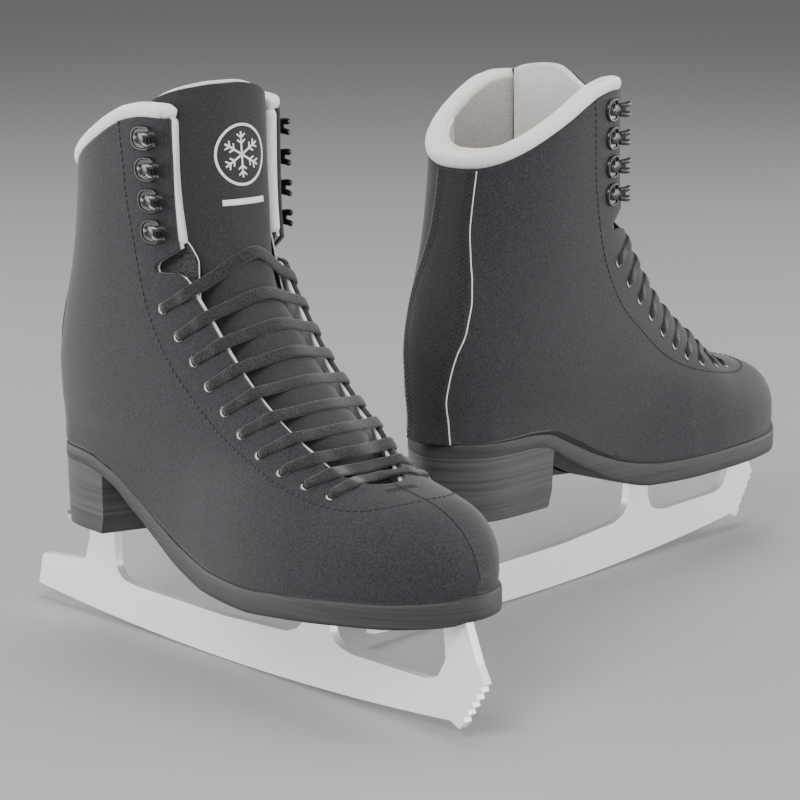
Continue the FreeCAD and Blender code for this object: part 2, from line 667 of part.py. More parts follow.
def rounded_path(points):
    """Straight runs joined by tangent arcs, each as large as its two runs allow."""
    edges = []
    here = points[0]
    for before, corner, after in zip(points, points[1:], points[2:]):
        back, ahead = before - corner, after - corner
        turn = math.pi - back.getAngle(ahead)
        cut = 0.45 * min(back.Length, ahead.Length)
        start = corner + back.normalize() * cut
        end = corner + ahead.normalize() * cut
        radius = cut / math.tan(turn / 2)
        bisector = (back + ahead).normalize()
        centre = corner + bisector * math.hypot(cut, radius)
        edges.append(Part.LineSegment(here, start).toShape())
        edges.append(Part.Arc(start, centre - bisector * radius, end).toShape())
        here = end
    edges.append(Part.LineSegment(here, points[-1]).toShape())
    return Part.Wire(edges)


def lace_route():
    """Up the boot in straight bars: out of one eyelet, across, in at the other, and up inside."""
    eyelets, edges = eyelet_places(), edge_places()
    over, across = 2.6, 2.2
    under = -(mm("lining_depth") + mm("lining_thickness") + 1.8)
    points = []
    near, far = 1, -1
    for row in reversed(range(len(EYELETS))):
        (start, start_out), (end, end_out) = eyelets[near][row], eyelets[far][row]
        (first, first_out), (last, last_out) = edges[near][row], edges[far][row]
        points += [start + start_out * under, start + start_out * over, first + first_out * across,
                   last + last_out * across, end + end_out * over, end + end_out * under]
        near, far = far, near
    return points


def make_lace():
    path = rounded_path(lace_route())
    start = path.Edges[0].valueAt(path.Edges[0].FirstParameter)
    tangent = path.Edges[0].tangentAt(path.Edges[0].FirstParameter)
    section = Part.Wire([Part.makeCircle(mm("lace_radius"), start, tangent)])
    solid = path.makePipeShell([section], True, True)
    expected = math.pi * mm("lace_radius") ** 2 * path.Length
    print("lace: length %.0f mm, volume over section times length %.3f" % (path.Length, solid.Volume / expected))
    feature("lace", solid)


# ---------------------------------------------------------------- the pair

for side in SIDES:
    cap_height = dim("heel_cap_thickness")
    stack_height = dim("sole_heel_z") - dim("heel_bottom") - cap_height - 0.1
    make_runner(side)
    make_sole_plate(side)
    make_heel_plate(side)
    make_heel_layer(side, "heel_cap", cap_height - 0.1, dim("heel_bottom") + 0.05, 0.0, True)
    make_heel_layer(side, "heel_stack", stack_height, dim("heel_bottom") + cap_height, 0.4, False)
make_screws("sole_screws", SOLE_SCREWS, mm("plate_underside") - 0.05)
make_screws("heel_screws", HEEL_SCREWS, mm("heel_seat") - 0.05)
make_sole_pieces()
make_stiffeners()
make_upper()
make_collar()
make_tongue()
make_hardware()
make_lace()

doc.recompute()
for thing in doc.Objects:
    if "Invalid" in thing.State or "Error" in thing.State:
        raise RuntimeError("%s did not compute: %s" % (thing.Label, thing.State))
os.makedirs("parts", exist_ok=True)
for piece in pieces:
    if piece.Shape.isNull() or not piece.Shape.isValid():
        raise RuntimeError("%s has no valid shape" % piece.Label)
    piece.Shape.exportStep("parts/%s.step" % piece.Label)
    box = piece.Shape.BoundBox
    print("%-28s %2d solids %10.0f mm3  x %.0f..%.0f y %.0f..%.0f z %.1f..%.1f" % (
        piece.Label, len(piece.Shape.Solids), piece.Shape.Volume, box.XMin, box.XMax, box.YMin, box.YMax,
        box.ZMin, box.ZMax))
print("%d nodes" % len(pieces))
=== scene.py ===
import json
import math
import random

import bpy
import numpy as np
from mathutils import Matrix, Vector
from mathutils.geometry import tessellate_polygon


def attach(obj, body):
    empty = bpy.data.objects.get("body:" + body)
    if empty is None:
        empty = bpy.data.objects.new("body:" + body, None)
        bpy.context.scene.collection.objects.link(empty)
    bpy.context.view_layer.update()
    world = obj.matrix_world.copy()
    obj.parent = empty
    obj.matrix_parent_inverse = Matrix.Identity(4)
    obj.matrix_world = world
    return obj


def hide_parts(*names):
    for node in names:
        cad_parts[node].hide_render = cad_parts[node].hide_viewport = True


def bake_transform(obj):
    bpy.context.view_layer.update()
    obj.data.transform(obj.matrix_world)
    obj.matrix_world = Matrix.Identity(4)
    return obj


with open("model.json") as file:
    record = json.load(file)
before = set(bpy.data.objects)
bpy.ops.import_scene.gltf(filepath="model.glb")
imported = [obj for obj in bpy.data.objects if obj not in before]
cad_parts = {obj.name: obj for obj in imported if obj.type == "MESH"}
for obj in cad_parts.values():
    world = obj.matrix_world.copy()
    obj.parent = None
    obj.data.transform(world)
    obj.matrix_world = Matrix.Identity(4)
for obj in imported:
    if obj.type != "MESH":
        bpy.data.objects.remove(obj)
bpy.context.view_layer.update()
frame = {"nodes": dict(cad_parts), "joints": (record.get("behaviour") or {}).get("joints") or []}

MM = 0.001
SIDES = {"right": 1, "left": -1}

# ---- where each skate stands
# Sizes are in millimetres in a skate's own frame: X to the toe, Z up from the ice, and Y towards
# the inner side of the foot. The left skate mirrors Y.

HINGE = Vector((14.0, 0.0, 178.0))
UP = (0.0, 0.0, 1.0)


def skate_matrix(side):
    """From a skate's frame in millimetres to the row frame, found from its tongue hinge."""
    joint = [j for j in frame["joints"] if j["name"] == side + "_tongue_flex"][0]
    sideways = Vector(joint["axis"])
    heading = math.atan2(-sideways.x, sideways.y)
    turn = Matrix.Rotation(heading, 4, "Z")
    start = Vector(joint["pos_m"]) - (turn @ (HINGE * MM))
    scale = Matrix.Diagonal((MM, MM * SIDES[side], MM, 1.0))
    return Matrix.Translation(start) @ turn @ scale


MATRICES = {side: skate_matrix(side) for side in SIDES}

# ---- the boot's form

LEG_SLICES = [(60, -97, 70, 25.5), (75, -98, 82, 27.5), (90, -100, 93, 30), (108, -102, 92, 34),
              (122, -101.5, 75, 34.5), (138, -98, 56, 34), (152, -93.5, 44, 33.8), (168, -87.5, 32, 33.8),
              (185, -83, 25, 34), (210, -78.5, 20.5, 35), (235, -76, 18.5, 35.8), (258, -74.5, 17.5, 36)]
FOOT_SLICES = [(-92, 17, 0, 104), (-80, 24.5, 0, 112), (-55, 27.5, -0.3, 118), (-25, 28.5, -0.8, 120),
               (5, 31.5, -1.2, 121), (35, 36, -1.8, 121), (60, 39.5, -1.5, 116), (80, 40.5, -0.5, 108),
               (100, 39, 1.0, 99), (116, 35.5, 2.2, 95.4), (129, 30.5, 3.2, 92.4), (139, 24.5, 3.8, 87.5),
               (146, 18, 4.0, 81.5), (150.2, 11.5, 4.0, 75.5), (152.2, 5, 4.0, 69.5)]
SOLE_TOP = [(-110, 86), (-60, 86), (-46, 85), (-28, 78), (-9, 69.2), (12, 62), (35, 58), (60, 57.4), (125, 57.5),
            (145, 58.8), (160, 61)]
SOLE_UNDER = [(-110, 79), (-60, 79), (-48, 78.2), (-31, 70.4), (-12, 60.6), (8, 52.2), (30, 47.6), (55, 47),
              (125, 47), (145, 48.2), (160, 50)]
OUTER_DROP = [(-70, 0), (-60, 1.2), (-46, 4), (-28, 5), (12, 5.2), (60, 5.2), (80, 3.8), (100, 2.3), (120, 1.2),
              (160, 0.8)]
SOLE_EDGE = [(-92, 16, 16), (-78, 24, 24), (-50, 26.5, 26.2), (-20, 28, 26.5), (12, 32.8, 30.2), (40, 38.3, 35),
             (62, 41, 38), (88, 40, 39), (110, 35.5, 37.8), (129, 27, 34), (142, 17.5, 26.5), (149.5, 8, 18)]
SOLE_HEEL_X = -99.5
SOLE_TOE = (153.5, 4.5)
FOOT_MIDDLE = 27.0
FOOT_TIP = 153.3
WIDEST_HEIGHT = 66.0
ROUNDNESS = 2.5
BLEND_WIDTH = 7.0


def smooth_curve(xs, ys):
    """A function through the points that never overshoots between them."""
    xs, ys = np.asarray(xs, float), np.asarray(ys, float)
    gaps = np.diff(xs)
    slopes = np.diff(ys) / gaps
    inner = np.zeros(len(xs))
    same = slopes[:-1] * slopes[1:] > 0
    with np.errstate(divide="ignore", invalid="ignore"):
        mean = 2 * slopes[:-1] * slopes[1:] / (slopes[:-1] + slopes[1:])
    inner[1:-1] = np.where(same, mean, 0)
    inner[0], inner[-1] = slopes[0], slopes[-1]

    def value(x):
        x = np.clip(np.asarray(x, float), xs[0], xs[-1])
        k = np.clip(np.searchsorted(xs, x) - 1, 0, len(xs) - 2)
        u = (x - xs[k]) / gaps[k]
        return (ys[k] * (2 * u**3 - 3 * u**2 + 1) + inner[k] * gaps[k] * (u**3 - 2 * u**2 + u)
                + ys[k + 1] * (3 * u**2 - 2 * u**3) + inner[k + 1] * gaps[k] * (u**3 - u**2))
    return value


def columns(table):
    return [list(column) for column in zip(*table)]


leg_z, leg_b, leg_f, leg_h = columns(LEG_SLICES)
leg_back, leg_front, leg_half = (smooth_curve(leg_z, c) for c in (leg_b, leg_f, leg_h))
foot_x, foot_h, foot_o, foot_r = columns(FOOT_SLICES)
to_tip = [-math.sqrt(FOOT_TIP - x) for x in foot_x] + [0.0]
foot_half = smooth_curve(to_tip, foot_h + [0.6])
foot_offset = smooth_curve(to_tip, foot_o + [4.0])
foot_tall = smooth_curve(to_tip, [r - WIDEST_HEIGHT for r in foot_r] + [0.6])
sole_top = smooth_curve(*columns(SOLE_TOP))
sole_under = smooth_curve(*columns(SOLE_UNDER))
outer_drop = smooth_curve(*columns(OUTER_DROP))


def lengths_along(points):
    """The distance run along a line at each of its points."""
    return np.concatenate([[0], np.cumsum(np.linalg.norm(np.diff(points, axis=0), axis=1))])


def sampled(line, run, at):
    """Places on a line at given distances along it."""
    return np.stack([np.interp(at, run, column) for column in line.T], -1)


def xyz(x, y, z):
    """Points from three coordinates, each an array or one value for all."""
    return np.stack(np.broadcast_arrays(*(np.asarray(values, float) for values in (x, y, z))), -1)


def ease(u):
    """A smooth step from 0 to 1 as u goes from 0 to 1."""
    u = np.clip(u, 0, 1)
    return u * u * (3 - 2 * u)


def round_end(u, least=0.0):
    """The rise of a quarter circle as u goes from 0 to 1, for rounding off an end."""
    return np.sqrt(np.clip(1 - (1 - np.clip(u, 0, 1)) ** 2, least, 1))


def form_gap(p, inset=0.0):
    """Roughly how far a point is outside the boot's form, in millimetres (negative inside)."""
    x, y, z = p[..., 0], p[..., 1], p[..., 2]
    level = np.clip(z, 60, 258)
    back, front, half = leg_back(level), leg_front(level), leg_half(level)
    along, across = (front - back) / 2 - inset, half - inset
    ratio = (np.abs((x - (front + back) / 2) / along) ** ROUNDNESS
             + np.abs(y / across) ** ROUNDNESS) ** (1 / ROUNDNESS)
    leg = (ratio - 1) * np.minimum(along, across)
    reach = FOOT_TIP - FOOT_MIDDLE
    stretched = FOOT_MIDDLE + (x - FOOT_MIDDLE) * reach / (reach - inset)
    place = -np.sqrt(np.clip(FOOT_TIP - stretched, 0, None))
    wide, tall = foot_half(place), foot_tall(place)
    wide = wide - inset * np.minimum(1, wide / 30)
    tall = tall - inset * np.minimum(1, tall / 30)
    ratio = (np.abs((z - WIDEST_HEIGHT) / tall) ** ROUNDNESS
             + np.abs((y - foot_offset(place)) / wide) ** ROUNDNESS) ** (1 / ROUNDNESS)
    foot = (ratio - 1) * np.minimum(wide, tall) + np.clip(stretched - FOOT_TIP, 0, None) * 2
    foot = foot + np.clip(-92 - x, 0, None)
    mix = np.clip(0.5 + 0.5 * (foot - leg) / BLEND_WIDTH, 0, 1)
    return foot * (1 - mix) + leg * mix - BLEND_WIDTH * mix * (1 - mix)


def spine_point(p):
    """A point well inside the boot, from which the skin near p is seen square on."""
    x, z = p[..., 0], p[..., 2]
    return xyz(x * 0.7 - 8, foot_offset(-np.sqrt(np.clip(FOOT_TIP - x, 0, None))) * 0.5, 70 + (z - 70) * 0.75)


def on_form(p, inset=0.0, centre=None):
    """Move points along rays from the spine until they lie on the form."""
    p = np.asarray(p, float)
    start = spine_point(p) if centre is None else centre
    ray = p - start
    ray = ray / np.linalg.norm(ray, axis=-1, keepdims=True)
    steps = np.linspace(2, 110, 55)
    gaps = np.stack([form_gap(start + ray * s, inset) for s in steps], -1)
    outside = gaps > 0
    first = np.argmax(outside, axis=-1)
    high = steps[first]
    low = steps[np.maximum(first - 1, 0)]
    for _ in range(24):
        middle = (low + high) / 2
        out = form_gap(start + ray * middle[..., None], inset) > 0
        high = np.where(out, middle, high)
        low = np.where(out, low, middle)
    return start + ray * high[..., None]


def outward(p, inset=0.0):
    """The direction straight out of the form at points near it."""
    p = np.asarray(p, float)
    step = 0.4
    slope = np.stack([form_gap(p + step * axis, inset) - form_gap(p - step * axis, inset)
                      for axis in np.eye(3)], -1)
    return slope / np.maximum(np.linalg.norm(slope, axis=-1, keepdims=True), 1e-9)


# ---- from arrays to meshes

def soften(points, spacing):
    """A smooth line through given points, passing through each of them."""
    points = np.asarray(points, float)
    before = np.vstack([2 * points[0] - points[1], points, 2 * points[-1] - points[-2]])
    pieces = []
    for k in range(len(points) - 1):
        p0, p1, p2, p3 = before[k:k + 4]
        count = max(2, int(np.linalg.norm((p2 - p1)[:3]) / spacing))
        u = np.linspace(0, 1, count, endpoint=False)[:, None]
        pieces.append(0.5 * (2 * p1 + (p2 - p0) * u + (2 * p0 - 5 * p1 + 4 * p2 - p3) * u**2
                             + (3 * p1 - p0 - 3 * p2 + p3) * u**3))
    return np.vstack(pieces + [points[-1:]])


def grid_faces(rows, cols, closed=False):
    """Quads joining rows x cols points; closed joins the last column to the first."""
    faces = []
    for r in range(rows - 1):
        for c in range(cols if closed else cols - 1):
            d = (c + 1) % cols
            faces.append((r * cols + c, r * cols + d, (r + 1) * cols + d, (r + 1) * cols + c))
    return faces


def sheet(grid, closed=False, flip=False):
    """(verts, faces) of a grid of points, its faces turned over if flip."""
    grid = np.asarray(grid, float)
    faces = grid_faces(*grid.shape[:2], closed)
    return grid.reshape(-1, 3), [face[::-1] for face in faces] if flip else faces


def unit(v):
    return v / np.maximum(np.linalg.norm(v, axis=-1, keepdims=True), 1e-9)


def sweep(path, up, section, closed=False):
    """A skin along a path; section is one ring of (sideways, upwards), or a ring per path point."""
    path = np.asarray(path, float)
    ahead = unit(np.roll(path, -1, 0) - np.roll(path, 1, 0) if closed else np.gradient(path, axis=0))
    side = unit(np.cross(ahead, up))
    top = unit(np.cross(side, ahead))
    if section.ndim == 2:
        section = np.repeat(section[None], len(path), 0)
    rings = path[:, None] + side[:, None] * section[..., :1] + top[:, None] * section[..., 1:]
    verts, faces = sheet(rings, closed=True)
    cols = rings.shape[1]
    last = len(verts) - cols
    if closed:
        faces += [(last + c, last + (c + 1) % cols, (c + 1) % cols, c) for c in range(cols)]
    else:
        faces += [tuple(range(cols))[::-1], tuple(range(last, last + cols))]
    return verts, faces


def oval(wide, tall, count=12, power=2.0):
    """A closed ring of (sideways, upwards) points, squarer for a higher power."""
    angle = np.linspace(0, 2 * math.pi, count, endpoint=False)
    c, s = np.cos(angle), np.sin(angle)
    return np.stack([wide * np.sign(c) * np.abs(c) ** (2 / power),
                     tall * np.sign(s) * np.abs(s) ** (2 / power)], -1)


def joined(parts):
    """One (verts, faces) out of several."""
    verts, faces, start = [], [], 0
    for v, f in parts:
        verts.append(np.asarray(v, float).reshape(-1, 3))
        faces += [tuple(start + k for k in face) for face in f]
        start += len(verts[-1])
    return np.vstack(verts), faces


def add_piece(side, name, shape, material, body="skate", crease=None):
    """A mesh in the row frame from (verts, faces) in the skate's frame, moving with one of its bodies."""
    verts, faces = shape
    place = np.array(MATRICES[side])
    verts = verts @ place[:3, :3].T + place[:3, 3]
    if SIDES[side] < 0:
        faces = [tuple(face)[::-1] for face in faces]
    mesh = bpy.data.meshes.new(side + "_" + name)
    mesh.from_pydata([tuple(v) for v in verts], [], faces)
    mesh.validate()
    mesh.shade_smooth()
    if crease is not None:
        mesh.set_sharp_from_angle(angle=math.radians(crease))
    mesh.materials.append(material)
    piece = bpy.data.objects.new(side + "_" + name, mesh)
    bpy.context.scene.collection.objects.link(piece)
    if body:
        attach(piece, side + "_" + body)
    return piece


def thicken(piece, thickness, offset=-1.0):
    """Give a skin its thickness: inwards, or outwards with offset 1."""
    solid = piece.modifiers.new("thickness", "SOLIDIFY")
    solid.thickness = thickness * MM
    solid.offset = offset
    solid.use_even_offset = False


# ---- lines on the boot

COLLAR_EDGE = [(-80, 206.5), (-72, 211), (-62, 216.5), (-52, 222), (-41, 227.5), (-30, 233), (-20, 236.8),
               (-9, 238.4), (4, 238)]
FRONT_EDGE = [(2.4, 30.2, 238), (2.8, 30, 225), (3.6, 29.7, 205), (5.6, 29.2, 186), (9, 28.8, 174), (13, 28.2, 167),
              (22, 27.4, 157.5), (31, 26.6, 147.5), (40, 25.4, 138), (50, 24.4, 129), (61, 23.4, 120.8),
              (73, 22.4, 113.8), (84.5, 20.6, 107.2), (94, 18, 102.4), (100.5, 13.8, 99.4), (104.2, 7.6, 97.6),
              (105.2, 0, 97.1)]
NOTCH = [(32, 199.5), (7.3, 184.3), (1.4, 180.6), (-4.6, 177), (-6, 175.2), (-5, 173.4), (5.6, 173.6), (8.2, 172.8),
         (12, 169.3), (32, 166)]
COLLAR_CENTRE_X = -30.0

collar_height = smooth_curve(*columns(COLLAR_EDGE))


def collar_line(sign, count, inset=0.0, drop=0.0):
    """Points round the leg at the leather's top edge, from the back seam to the front corner."""
    corner_x, corner_half = FRONT_EDGE[0][:2]
    angles = np.linspace(math.pi, math.atan2(corner_half, corner_x - COLLAR_CENTRE_X), count)
    reach = np.full(count, 40.0)
    for _ in range(4):
        x = COLLAR_CENTRE_X + reach * np.cos(angles)
        z = collar_height(x) - drop
        points = on_form(xyz(x, sign * reach * np.sin(angles), z), inset, xyz(COLLAR_CENTRE_X, 0, z))
        reach = np.hypot(points[:, 0] - COLLAR_CENTRE_X, points[:, 1])
    return points


def front_line(sign, spacing=1.2):
    """Points down the front edge of one half, from the collar to the middle of the vamp."""
    corner = collar_line(sign, 3)[-1]
    line = soften([(x, sign * y, z) for x, y, z in FRONT_EDGE], spacing)
    line = on_form(line)
    fade = np.clip(1 - np.arange(len(line)) / 6, 0, 1)[:, None]
    return line + fade * (corner - line[0])


def edge_share(x, y):
    """How close a point is to the sole's outer edge: 1 on it, 0 from the middle inwards."""
    edge = np.interp(x, [row[0] for row in SOLE_EDGE], [row[1] for row in SOLE_EDGE])
    return ease((-y / edge - 0.2) / 0.7)


def sole_height(x, y, share):
    """A level in the sole, from 0 on its underside to 1 on its top, lower along the outer edge."""
    low, high = sole_under(x), sole_top(x)
    return low + (high - low) * share - outer_drop(x) * edge_share(x, y)


def feather_line(sign, xs):
    """Where the leather meets the sole."""
    table = [(SOLE_HEEL_X, 0.0)] + [(x, outer if sign < 0 else inner) for x, outer, inner in SOLE_EDGE]
    edge = soften([(x, sign * y) for x, y in table] + [SOLE_TOE], 1.0)
    at = np.interp(xs, edge[:, 0], edge[:, 1])
    return xyz(xs, at, sole_height(xs, at, 1))


def edge_normals(line, sign):
    """At points along an edge of one half: straight out of the leather, and onwards past the edge."""
    normal = outward(line)
    return normal, unit(np.cross(unit(np.gradient(line, axis=0)), normal)) * sign


SEAM_BOTTOM = [(0.0, -99.5), (0.2, -62), (0.34, -30), (0.42, -14), (0.5, 4), (0.62, 40), (0.76, 82), (0.9, 120),
               (0.96, 139), (1.0, 153.5)]


def skin_grid(sign, inset, reach, rows, sink):
    """One half of the upper, from the sole up to the collar and the facing, as a grid of points."""
    top = np.vstack([collar_line(sign, 80), front_line(sign)[1:]])
    run = lengths_along(top)
    run /= run[-1]
    bottom = feather_line(sign, smooth_curve(*columns(SEAM_BOTTOM))(run))
    bottom = bottom - outward(bottom) * inset
    bottom[:, 2] -= sink
    normal, beyond = edge_normals(top, sign)
    wanted = top + beyond * reach * np.clip((run - 0.3) * 60, 0, 1)[:, None] - normal * inset
    wanted[-1, 1] = 0.0
    t = np.linspace(0, 1, rows)[:, None, None]
    flat = bottom[None] * (1 - t) + wanted[None] * t
    grid = on_form(flat, inset)
    keep = np.clip((t - 0.97) / 0.03, 0, 1)
    grid = grid * (1 - keep) + flat * keep
    grid[0] = bottom
    hem = grid[:, -1:] * 0.97 + grid[:, -2:-1] * 0.03
    return np.concatenate([grid[:, :-1], hem, grid[:, -1:]], axis=1)


def polygon_gap(points, outline):
    """Signed distance from 2-D points to a closed outline, positive outside it."""
    outline = np.asarray(outline, float)
    ends = np.roll(outline, -1, 0)
    best = np.full(points.shape[:-1], 1e9)
    inside = np.zeros(points.shape[:-1], bool)
    for a, b in zip(outline, ends):
        d = b - a
        u = np.clip(((points - a) @ d) / (d @ d), 0, 1)
        best = np.minimum(best, np.linalg.norm(points - a - u[..., None] * d, axis=-1))
        crosses = (a[1] > points[..., 1]) != (b[1] > points[..., 1])
        with np.errstate(divide="ignore", invalid="ignore"):
            at = a[0] + (points[..., 1] - a[1]) * d[0] / (d[1] if d[1] else 1e-12)
        inside ^= crosses & (points[..., 0] < at)
    return np.where(inside, -best, best)


def trimmed(verts, faces, value):
    """The part of a mesh where value is positive, cut cleanly along the line where it's zero."""
    verts = list(map(np.array, verts))
    cuts, kept = {}, []

    def cut(a, b):
        key = (min(a, b), max(a, b))
        if key not in cuts:
            u = value[a] / (value[a] - value[b])
            cuts[key] = len(verts)
            verts.append(verts[a] + (verts[b] - verts[a]) * u)
        return cuts[key]
    for face in faces:
        if all(value[k] > 0 for k in face):
            kept.append(face)
        elif any(value[k] > 0 for k in face):
            ring = []
            for a, b in zip(face, face[1:] + face[:1]):
                if value[a] > 0:
                    ring.append(a)
                if (value[a] > 0) != (value[b] > 0):
                    ring.append(cut(a, b))
            if len(ring) > 2:
                kept.append(tuple(ring))
    used = sorted({k for face in kept for k in face})
    index = {k: n for n, k in enumerate(used)}
    return np.array([verts[k] for k in used]), [tuple(index[k] for k in face) for face in kept]


def upper_half(sign, inset=0.0, reach=0.0, notch_reach=0.0, rows=110, sink=0.0):
    """One half of the upper with the notch cut out of its front edge."""
    verts, faces = sheet(skin_grid(sign, inset, reach, rows, sink), flip=sign > 0)
    gap = polygon_gap(verts[:, [0, 2]], NOTCH) + notch_reach
    return trimmed(verts, faces, np.where(verts[:, 0] < -30, 5.0, gap))


def on_side(sign, x, half, z):
    """The place on one side of the leather near x and z, looked for from half wide."""
    centre = np.array([[x * 0.7 - 8, 0.0, z]]) if z > 175 else None
    return on_form(np.array([[x, sign * half, z]], float), 0.0, centre)[0]


def surface_run(points):
    """A smooth line on the leather through given places."""
    return on_form(soften(points, 0.8))


def even(line, spacing, offset=0.0):
    """Places at even spacing along a line, with the direction there."""
    run = lengths_along(line)
    at = np.arange(offset + spacing / 2, run[-1], spacing)
    places = sampled(line, run, at)
    return places, unit(sampled(line, run, at + 0.5) - places)


STITCH_ALONG = np.array([-0.5, -0.42, -0.2, 0.2, 0.42, 0.5])
STITCH_WIDTH = np.array([0.25, 0.8, 1.0, 1.0, 0.8, 0.25])
STITCH_DEPTH = np.array([-0.45, -0.12, 0.0, 0.0, -0.12, -0.45]) * 0.7


def stitches(line, spacing, length, radius, lift, inset=0.0, offset=0.0):
    """A row of separate stitches pressed into the leather along a line."""
    places, ahead = even(line, spacing, offset)
    ring = oval(1.0, 0.8, 6)
    parts = []
    for p, a, n in zip(places, ahead, outward(places, inset)):
        path = p + a * (STITCH_ALONG * length)[:, None] + n * (lift + STITCH_DEPTH)[:, None]
        parts.append(sweep(path, n, ring * (STITCH_WIDTH * radius)[:, None, None]))
    return joined(parts)


def cord(line, radius, lift=0.0, inset=0.0, flat=1.0):
    """A thin cord lying along a line on the leather."""
    normal = outward(line, inset)
    return sweep(line + normal * lift, normal, oval(radius, radius * flat, 8))


# ---- materials

def shader_of(material):
    return material.node_tree.nodes["Principled BSDF"]


def new_material(name, color, roughness, metallic=0.0, **settings):
    """A plain material; settings name more of its sockets, with _ for a space."""
    material = bpy.data.materials.new(name)
    material.use_nodes = True
    settings.update({"Base Color": (*color, 1), "Roughness": roughness, "Metallic": metallic})
    for socket, value in settings.items():
        shader_of(material).inputs[socket.replace("_", " ")].default_value = value
    return material


def node(material, kind, source=None, **settings):
    """A new shader node; source feeds its first socket, and settings fill others by name."""
    made = material.node_tree.nodes.new("ShaderNode" + kind)
    for socket, value in settings.items():
        made.inputs[socket.replace("_", " ")].default_value = value
    if source:
        material.node_tree.links.new(source, made.inputs[0])
    return made


def feed(material, output, socket):
    """Connect an output to one of the shader's sockets."""
    material.node_tree.links.new(output, shader_of(material).inputs[socket])


def texture(material, kind, stretch=(1, 1, 1), **settings):
    """A texture over object coordinates in metres, stretched along the axes."""
    place = node(material, "TexCoord").outputs["Object"]
    return node(material, kind, node(material, "Mapping", place, Scale=stretch).outputs["Vector"], **settings)


def two_tones(material, source, low, high, span=(0, 1)):
    """A base colour that goes from low to high as source crosses span."""
    ramp = node(material, "ValToRGB", source)
    for stop, position, tone in zip(ramp.color_ramp.elements, span, (low, high)):
        stop.position = position
        stop.color = (*tone, 1)
    feed(material, ramp.outputs["Color"], "Base Color")


def mottled(material, scale, low, high, detail=3.0, stretch=(1, 1, 1), span=(0.3, 0.7)):
    """Base colour that wanders between two tones."""
    noise = texture(material, "TexNoise", stretch, Scale=scale, Detail=detail, Roughness=0.6)
    two_tones(material, noise.outputs["Fac"], low, high, span)


def relief(material, source, strength, distance):
    """Bumps as high as source says."""
    bump = node(material, "Bump", Strength=strength, Distance=distance)
    material.node_tree.links.new(source, bump.inputs["Height"])
    feed(material, bump.outputs["Normal"], "Normal")


def grain(material, scale, strength, distance, kind="TexNoise"):
    """A fine even surface relief."""
    relief(material, texture(material, kind, Scale=scale, Detail=4.0).outputs[0], strength, distance)


def make_leather(name, low, high, roughness=0.82):
    material = new_material(name, high, roughness, Sheen_Weight=0.22, Sheen_Roughness=0.45,
                            Specular_IOR_Level=0.25)
    mottled(material, 1300, low, high, span=(0.34, 0.66))
    grain(material, 1500, 0.4, 0.00015)
    return material


def make_fleece(name, low, high, scale=900, height=0.5):
    material = new_material(name, high, 0.95, Sheen_Weight=0.5, Sheen_Roughness=0.6, Specular_IOR_Level=0.15)
    mottled(material, scale, low, high)
    grain(material, scale * 1.6, height, 0.0004)
    return material


def make_woven(name, low, high):
    material = new_material(name, high, 0.85, Sheen_Weight=0.3, Sheen_Roughness=0.5, Specular_IOR_Level=0.25)
    mottled(material, 1500, low, high, 1.0, span=(0.38, 0.62))
    grain(material, 1400, 0.6, 0.0003, "TexVoronoi")
    return material


def make_brushed(name, color, roughness, stretch, metallic=1.0):
    """Metal ground in one direction."""
    material = new_material(name, color, roughness, metallic)
    noise = texture(material, "TexNoise", stretch, Scale=6.0, Detail=3.0)
    spread = node(material, "MapRange", noise.outputs["Fac"], To_Min=roughness * 0.8, To_Max=roughness * 1.3)
    feed(material, spread.outputs["Result"], "Roughness")
    return material


def ground_edge(material, height, edge):
    """A brighter band below a height in metres, with a soft border."""
    level = node(material, "SeparateXYZ", node(material, "TexCoord").outputs["Object"]).outputs["Z"]
    step = node(material, "MapRange", level, From_Min=height - EDGE_SOFTNESS, From_Max=height + EDGE_SOFTNESS)
    two_tones(material, step.outputs["Result"], edge, shader_of(material).inputs["Base Color"].default_value[:3])


EDGE_SOFTNESS = 0.0003

LEATHER = make_leather("nubuck_leather", (0.0165, 0.0162, 0.0188), (0.044, 0.0435, 0.049))
PANEL = make_leather("counter_leather", (0.015, 0.0148, 0.017), (0.038, 0.0375, 0.042))
TONGUE = make_leather("tongue_leather", (0.019, 0.0188, 0.021), (0.039, 0.0385, 0.043), 0.78)
# Painted shade: a dark colour for thin strips and discs put where seam grooves and eyelet holes fall into shade.
GROOVE_SHADE = new_material("painted_groove_shade", (0.012, 0.012, 0.013), 0.9)
mottled(GROOVE_SHADE, 800, (0.01, 0.01, 0.011), (0.016, 0.016, 0.017))
THREAD = new_material("thread", (0.015, 0.015, 0.016), 0.6)
mottled(THREAD, 2500, (0.01, 0.01, 0.011), (0.022, 0.022, 0.024))
FLEECE = make_fleece("collar_fleece", (0.74, 0.725, 0.69), (0.9, 0.885, 0.855))
EDGE = make_fleece("lining_edge", (0.6, 0.59, 0.56), (0.8, 0.79, 0.76), 1400, 0.3)
MESH = make_woven("gusset_mesh", (0.012, 0.012, 0.013), (0.06, 0.06, 0.063))
LACE = make_woven("lace_braid", (0.008, 0.008, 0.009), (0.034, 0.034, 0.037))
EMBLEM = new_material("emblem_print", (0.8, 0.8, 0.8), 0.6)
mottled(EMBLEM, 1500, (0.72, 0.72, 0.72), (0.85, 0.85, 0.85))
HARDWARE = new_material("black_enamel", (0.012, 0.012, 0.0125), 0.32, Specular_IOR_Level=0.5, Coat_Weight=0.2,
                        Coat_Roughness=0.2)
grain(HARDWARE, 600, 0.08, 0.0001)
STEEL = make_brushed("blade_steel", (0.94, 0.94, 0.96), 0.36, (8, 8, 300), 0.35)
ground_edge(STEEL, 0.0068, (0.97, 0.96, 0.93))
PLATE = make_brushed("plate_steel", (0.8, 0.8, 0.81), 0.3, (60, 60, 60))
SCREW = make_brushed("screw_steel", (0.6, 0.6, 0.61), 0.3, (200, 200, 200))
SOLE = new_material("sole_rubber", (0.03, 0.03, 0.032), 0.6, Specular_IOR_Level=0.4)
